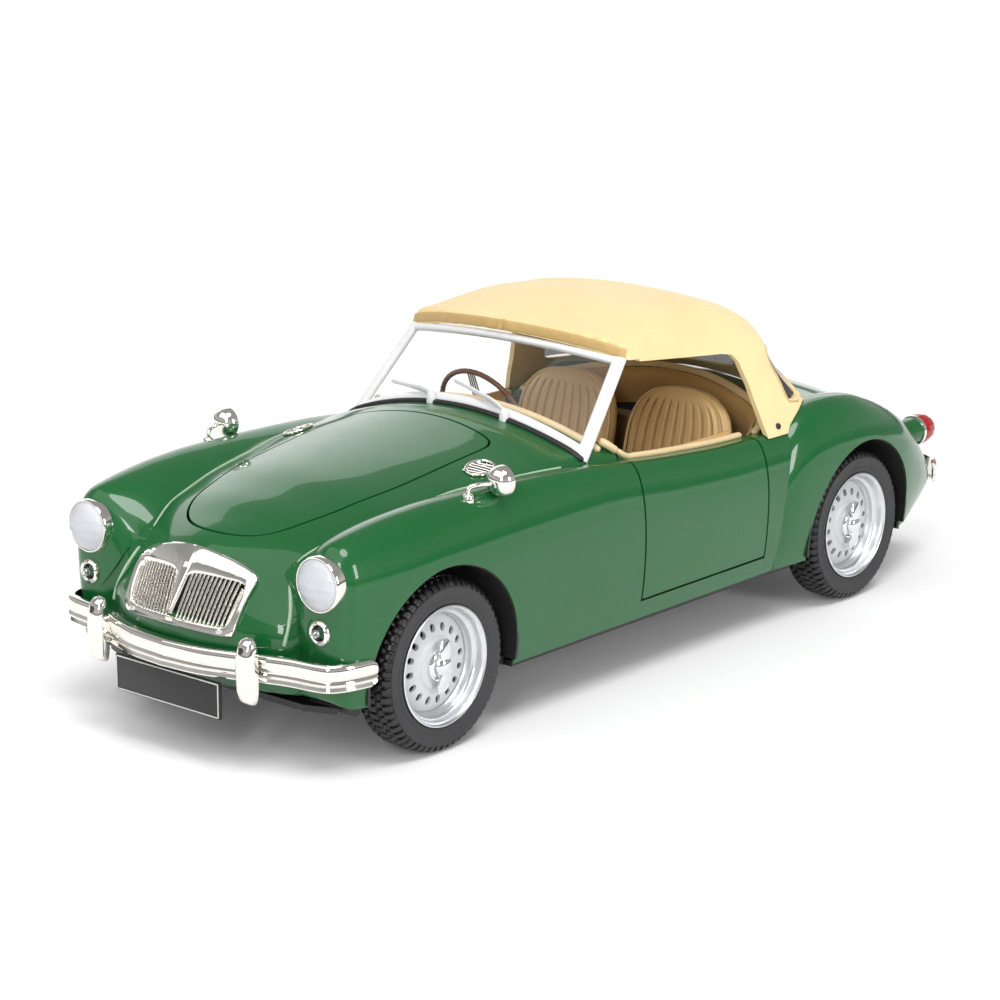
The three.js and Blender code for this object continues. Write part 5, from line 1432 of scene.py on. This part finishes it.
def seat(name, x):
    """A bucket seat: fluted back and cushion, with piping round the back."""
    cover = joined(f"{name}_cover", seat_back(x), seat_cushion(x))
    place(shade(cover, 60), "root", SEAT, [name])
    z = np.concatenate([np.linspace(18, 44, 20), np.linspace(44.8, 48.2, 9)])
    y = np.interp(z, [15, 26, 47.4, 48.9], [20.6, 21.5, 26.7, 27.8])
    edge = np.stack([seat_half_width(z) * 0.985, y, z], 1)
    path = np.vstack([mirrored(edge), [(0, 27.8, 48.95)], edge[::-1]]) + [x, -0.35, 0]
    piping = tube(f"{name}_piping", spline(smoothed(path, 1), 90), 0.32, 8, up=(0, 1, 0))
    place(shade(piping, 60), "root", SEAT)


seat("seat_left", 15.2)
seat("seat_right", -15.2)



def door_lining(name, side):
    """A door's casing with a rolled cream top, and the roll that carries on along the scuttle."""
    flip = np.array([side, 1, 1])
    casing = block(f"door_casing_{name}", (0.9, 35.6, 24), (30.3 * side, 4.4, 30.7), 0.3)
    place(casing, f"door_{name}", TAN, [f"door_trim_{name}"])
    top = [(31.2, y, on_body(34.0, y)[2] + 0.3) for y in np.linspace(-12.6, 24.6, 30)]
    top = [(30.9, -15.0, top[0][2] + 1.3), (31.1, -14.0, top[0][2] + 0.6)] + top
    rail = tube(f"door_rail_{name}", spline(top * flip, 60), 0.8, 12, squash=0.85)
    place(shade(rail, 60), f"door_{name}", TRIM)
    start = top[0][2]
    corner = [(29.9, -18.9, start + 2.6), (30.5, -17.6, start + 1.7), (30.8, -16.2, start + 0.7)]
    piece = tube(f"scuttle_rail_{name}", spline(corner * flip, 10), 0.78, 12)
    place(shade(piece, 60), "root", TRIM)


for name, side in SIDES:
    door_lining(name, side)

# Rolled cream edge along the dash top and round the back of the cockpit, with the padded band below it.
dash = [on_body(30.2 * u, -21.6 + 1.6 * u * u, 0.15) for u in np.linspace(-0.97, 0.97, 40)]
place(shade(tube("dash_roll", dash, 0.95, 12, squash=0.8), 60), "root", TRIM)
BAND = [(0.6, -0.5), (1.7, -0.7), (2.3, -1.7), (2.5, -3.2), (2.3, -5), (1.9, -7), (1.2, -8.5), (0.3, -8.5),
        (0.2, -5), (0.1, -1.2)]
rear_edge = [(31.4, 29.3), (30.8, 31.8), (28.8, 35.0), (24, 38.0), (16, 40.7), (8, 42.4), (0, 42.9)]
rear_plan = spline(rear_edge + [(-x, y) for x, y in rear_edge[-2::-1]], 90)
rail_path = smoothed([on_body(x, y + 0.7, 0.2) for x, y in rear_plan], 3)
place(shade(tube("cockpit_rail", rail_path, 0.85, 12), 60), "root", TRIM)
band = []
for p, (x, y) in zip(rail_path, rear_plan):
    inward = np.array([-x * 0.02, -1.0, 0]) / 1.02
    band.append([p + inward * d + [0, 0, h] for d, h in BAND])
place(shade(loft("cockpit_band", band), 50), "root", TAN)


def wheel_frame():
    """The steering wheel's own frame: its plane leans by the column's tilt."""
    along = Vector((0, math.cos(COLUMN_TILT), math.sin(COLUMN_TILT)))
    across = Vector((1, 0, 0))
    m = Matrix((across, along.cross(across), along)).transposed().to_4x4()
    m.translation = Vector(WHEEL_HUB * MM)
    return m


a = np.linspace(0, 2 * PI, 96, endpoint=False)
rim_path = np.stack([10.9 * np.cos(a), 10.9 * np.sin(a), 0 * a], 1)
ring_ = tube("steering_rim", rim_path, 0.55, 14, closed=True)
for v in ring_.data.vertices:
    angle = math.atan2(v.co.y, v.co.x)
    v.co *= 1 + 0.0035 * math.cos(angle * 48)
ring_.data.transform(wheel_frame())
place(shade(ring_, 60), "steering_wheel", BROWN, ["steering_wheel"])
spokes = []
for turn in (PI / 2 + PI, 0.12, PI - 0.12):
    for shift in (-0.75, -0.25, 0.25, 0.75):
        c, s = math.cos(turn), math.sin(turn)
        line = []
        for r in (1.2, 6, 10.7):
            apart = shift * (1.4 - r * 0.03)
            line.append((c * r - s * apart, s * r + c * apart, -0.35 + r * 0.03))
        spokes.append(tube("spoke", spline(line, 8), 0.16, 6))
HUB = [(0, -1.2), (1.4, -1.2), (1.9, -0.4), (2.0, 0.2), (1.7, 0.6), (1.0, 0.8), (0, 0.85)]
hub = turned("hub", HUB, 32, (0, 0, 0), "z")
spokes = joined("steering_spokes", hub, *spokes)
spokes.data.transform(wheel_frame())
place(shade(spokes, 50), "steering_wheel", SATIN)

# Two large and two small instruments on the dash.
for i, x in enumerate((-18.2, -9.0, 0.0, 8.0)):
    r = 2.3 if i < 2 else 1.4
    face = [(0, 0.6), (r, 0.6), (r + 0.25, 0.3), (r + 0.2, -0.1), (r, -0.15), (r - 0.15, 0.15), (0, 0.2)]
    dial = turned(f"dial_{i + 1}", face, 32, (x, -19.9, 45.6), "y", -1)
    place(shade(dial, 50), "root", SATIN)


# ---------------------------------------------------------------- CAD nodes that keep their shape
def refinish(material_, *names):
    for n in names:
        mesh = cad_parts[n].data
        mesh.materials.clear()
        mesh.materials.append(material_)


refinish(BLACK, "base_plate", "front_beam", "steering_knuckle_left", "steering_knuckle_right",
         "steering_column")
refinish(CARPET, "cockpit_tub")
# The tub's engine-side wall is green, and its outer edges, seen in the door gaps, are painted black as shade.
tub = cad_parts["cockpit_tub"]
tub.data.materials.append(GREEN)
tub.data.materials.append(BLACK)
for face in tub.data.polygons:
    x, y, _ = tub.matrix_world @ face.center / MM
    if y < -20:
        face.material_index = 1
    elif abs(x) > 31.4:
        face.material_index = 2
refinish(TAN, "dashboard")
refinish(ENGINE, "engine_block")
refinish(SATIN, "tie_rod", "rear_axle", "exhaust_pipe", "base_screw_front", "base_screw_rear")


# ---------------------------------------------------------------- floor, light and camera
def area_light(name, at, size, power, target=(0, 0, 25)):
    data = bpy.data.lights.new(name, "AREA")
    data.shape, data.size, data.size_y, data.energy = "RECTANGLE", size[0], size[1], power
    lamp = bpy.data.objects.new(name, data)
    bpy.context.scene.collection.objects.link(lamp)
    lamp.location = Vector(at) * MM
    aim = Vector(target) * MM - lamp.location
    lamp.rotation_euler = aim.to_track_quat("-Z", "Y").to_euler()


def studio_floor():
    """A pale floor that glows more with distance, so that it fades into the background."""
    floor = prism("floor", [(-3000, -3000), (3000, -3000), (3000, 3000), (-3000, 3000)], -2, 0)
    kit = material("studio_floor", (0.93, 0.93, 0.93), 0.6, specular=0.2)
    blend_colour(kit, texture(kit, scale=3), (0.92, 0.92, 0.92))
    kit["shader"].inputs["Emission Color"].default_value = (1, 1, 1, 1)
    length, glow = kit["nodes"].new("ShaderNodeVectorMath"), kit["nodes"].new("ShaderNodeMapRange")
    length.operation = "LENGTH"
    for name, value in (("From Min", 0.45), ("From Max", 1.2), ("To Min", 0.04), ("To Max", 0.5)):
        glow.inputs[name].default_value = value
    kit["links"].new(kit["where"], length.inputs[0])
    kit["links"].new(length.outputs["Value"], glow.inputs["Value"])
    kit["links"].new(glow.outputs["Result"], kit["shader"].inputs["Emission Strength"])
    floor.data.materials.append(kit["mat"])


def studio_lights():
    data = bpy.data.lights.new("sun", "SUN")
    data.energy, data.angle = 1.5, math.radians(28)
    sun = bpy.data.objects.new("sun", data)
    bpy.context.scene.collection.objects.link(sun)
    sun.rotation_euler = Vector((-0.35, 0.1, -1)).to_track_quat("-Z", "Y").to_euler()
    area_light("front", (330, -620, 330), (0.12, 0.3), 1.4)
    area_light("left", (760, 40, 300), (0.15, 0.3), 1.6)
    area_light("rear", (-560, 440, 330), (0.9, 0.5), 1.3)
    area_light("hood", (-40, -420, 560), (0.9, 0.5), 1.6)


def studio_world():
    """A bright room with a dark band at the horizon, which only the reflections show."""
    world = bpy.data.worlds.new("studio")
    world.use_nodes = True
    bpy.context.scene.world = world
    nodes, links = world.node_tree.nodes, world.node_tree.links
    split = nodes.new("ShaderNodeSeparateXYZ")
    ramp = nodes.new("ShaderNodeValToRGB")
    stops = [(0.0, 1.0), (0.5, 1.0), (0.506, 0.1), (0.53, 0.12), (0.57, 0.55), (0.75, 0.32), (1.0, 0.35)]
    ramp.color_ramp.elements[0].position, ramp.color_ramp.elements[1].position = stops[0][0], stops[-1][0]
    for position, _ in stops[1:-1]:
        ramp.color_ramp.elements.new(position)
    for element, (_, value) in zip(ramp.color_ramp.elements, stops):
        element.color = (value, value, value, 1)
    height = nodes.new("ShaderNodeMapRange")
    height.inputs["From Min"].default_value, height.inputs["From Max"].default_value = -1, 1
    links.new(nodes.new("ShaderNodeTexCoord").outputs["Generated"], split.inputs["Vector"])
    links.new(split.outputs["Z"], height.inputs["Value"])
    links.new(height.outputs["Result"], ramp.inputs["Fac"])
    # The camera itself sees plain white beyond the floor.
    seen = nodes.new("ShaderNodeMixRGB")
    seen.inputs["Color2"].default_value = (1, 1, 1, 1)
    links.new(nodes.new("ShaderNodeLightPath").outputs["Is Camera Ray"], seen.inputs["Fac"])
    links.new(ramp.outputs["Color"], seen.inputs["Color1"])
    links.new(seen.outputs["Color"], nodes["Background"].inputs["Color"])
    nodes["Background"].inputs["Strength"].default_value = 1.0


def camera():
    azimuth, elevation, roll = map(math.radians, (40.497, 14.603, 0.202))
    shade_back = Vector((math.sin(azimuth) * math.cos(elevation), -math.cos(azimuth) * math.cos(elevation),
                   math.sin(elevation)))
    right = Vector((math.cos(azimuth), math.sin(azimuth), 0))
    up = shade_back.cross(right)
    right, up = (right * math.cos(roll) + up * math.sin(roll), up * math.cos(roll) - right * math.sin(roll))
    data = bpy.data.cameras.new("camera")
    data.sensor_width, data.lens, data.clip_start = 36, 103.97, 0.01
    eye = bpy.data.objects.new("camera", data)
    bpy.context.scene.collection.objects.link(eye)
    place_ = Matrix((right, up, shade_back)).transposed().to_4x4()
    place_.translation = Vector((0.371335, -0.449403, 0.178993))
    eye.matrix_world = place_
    bpy.context.scene.camera = eye


studio_floor()
studio_lights()
studio_world()
camera()
bpy.context.scene.view_settings.view_transform = "Standard"
for obj in spare:
    bpy.data.objects.remove(obj)
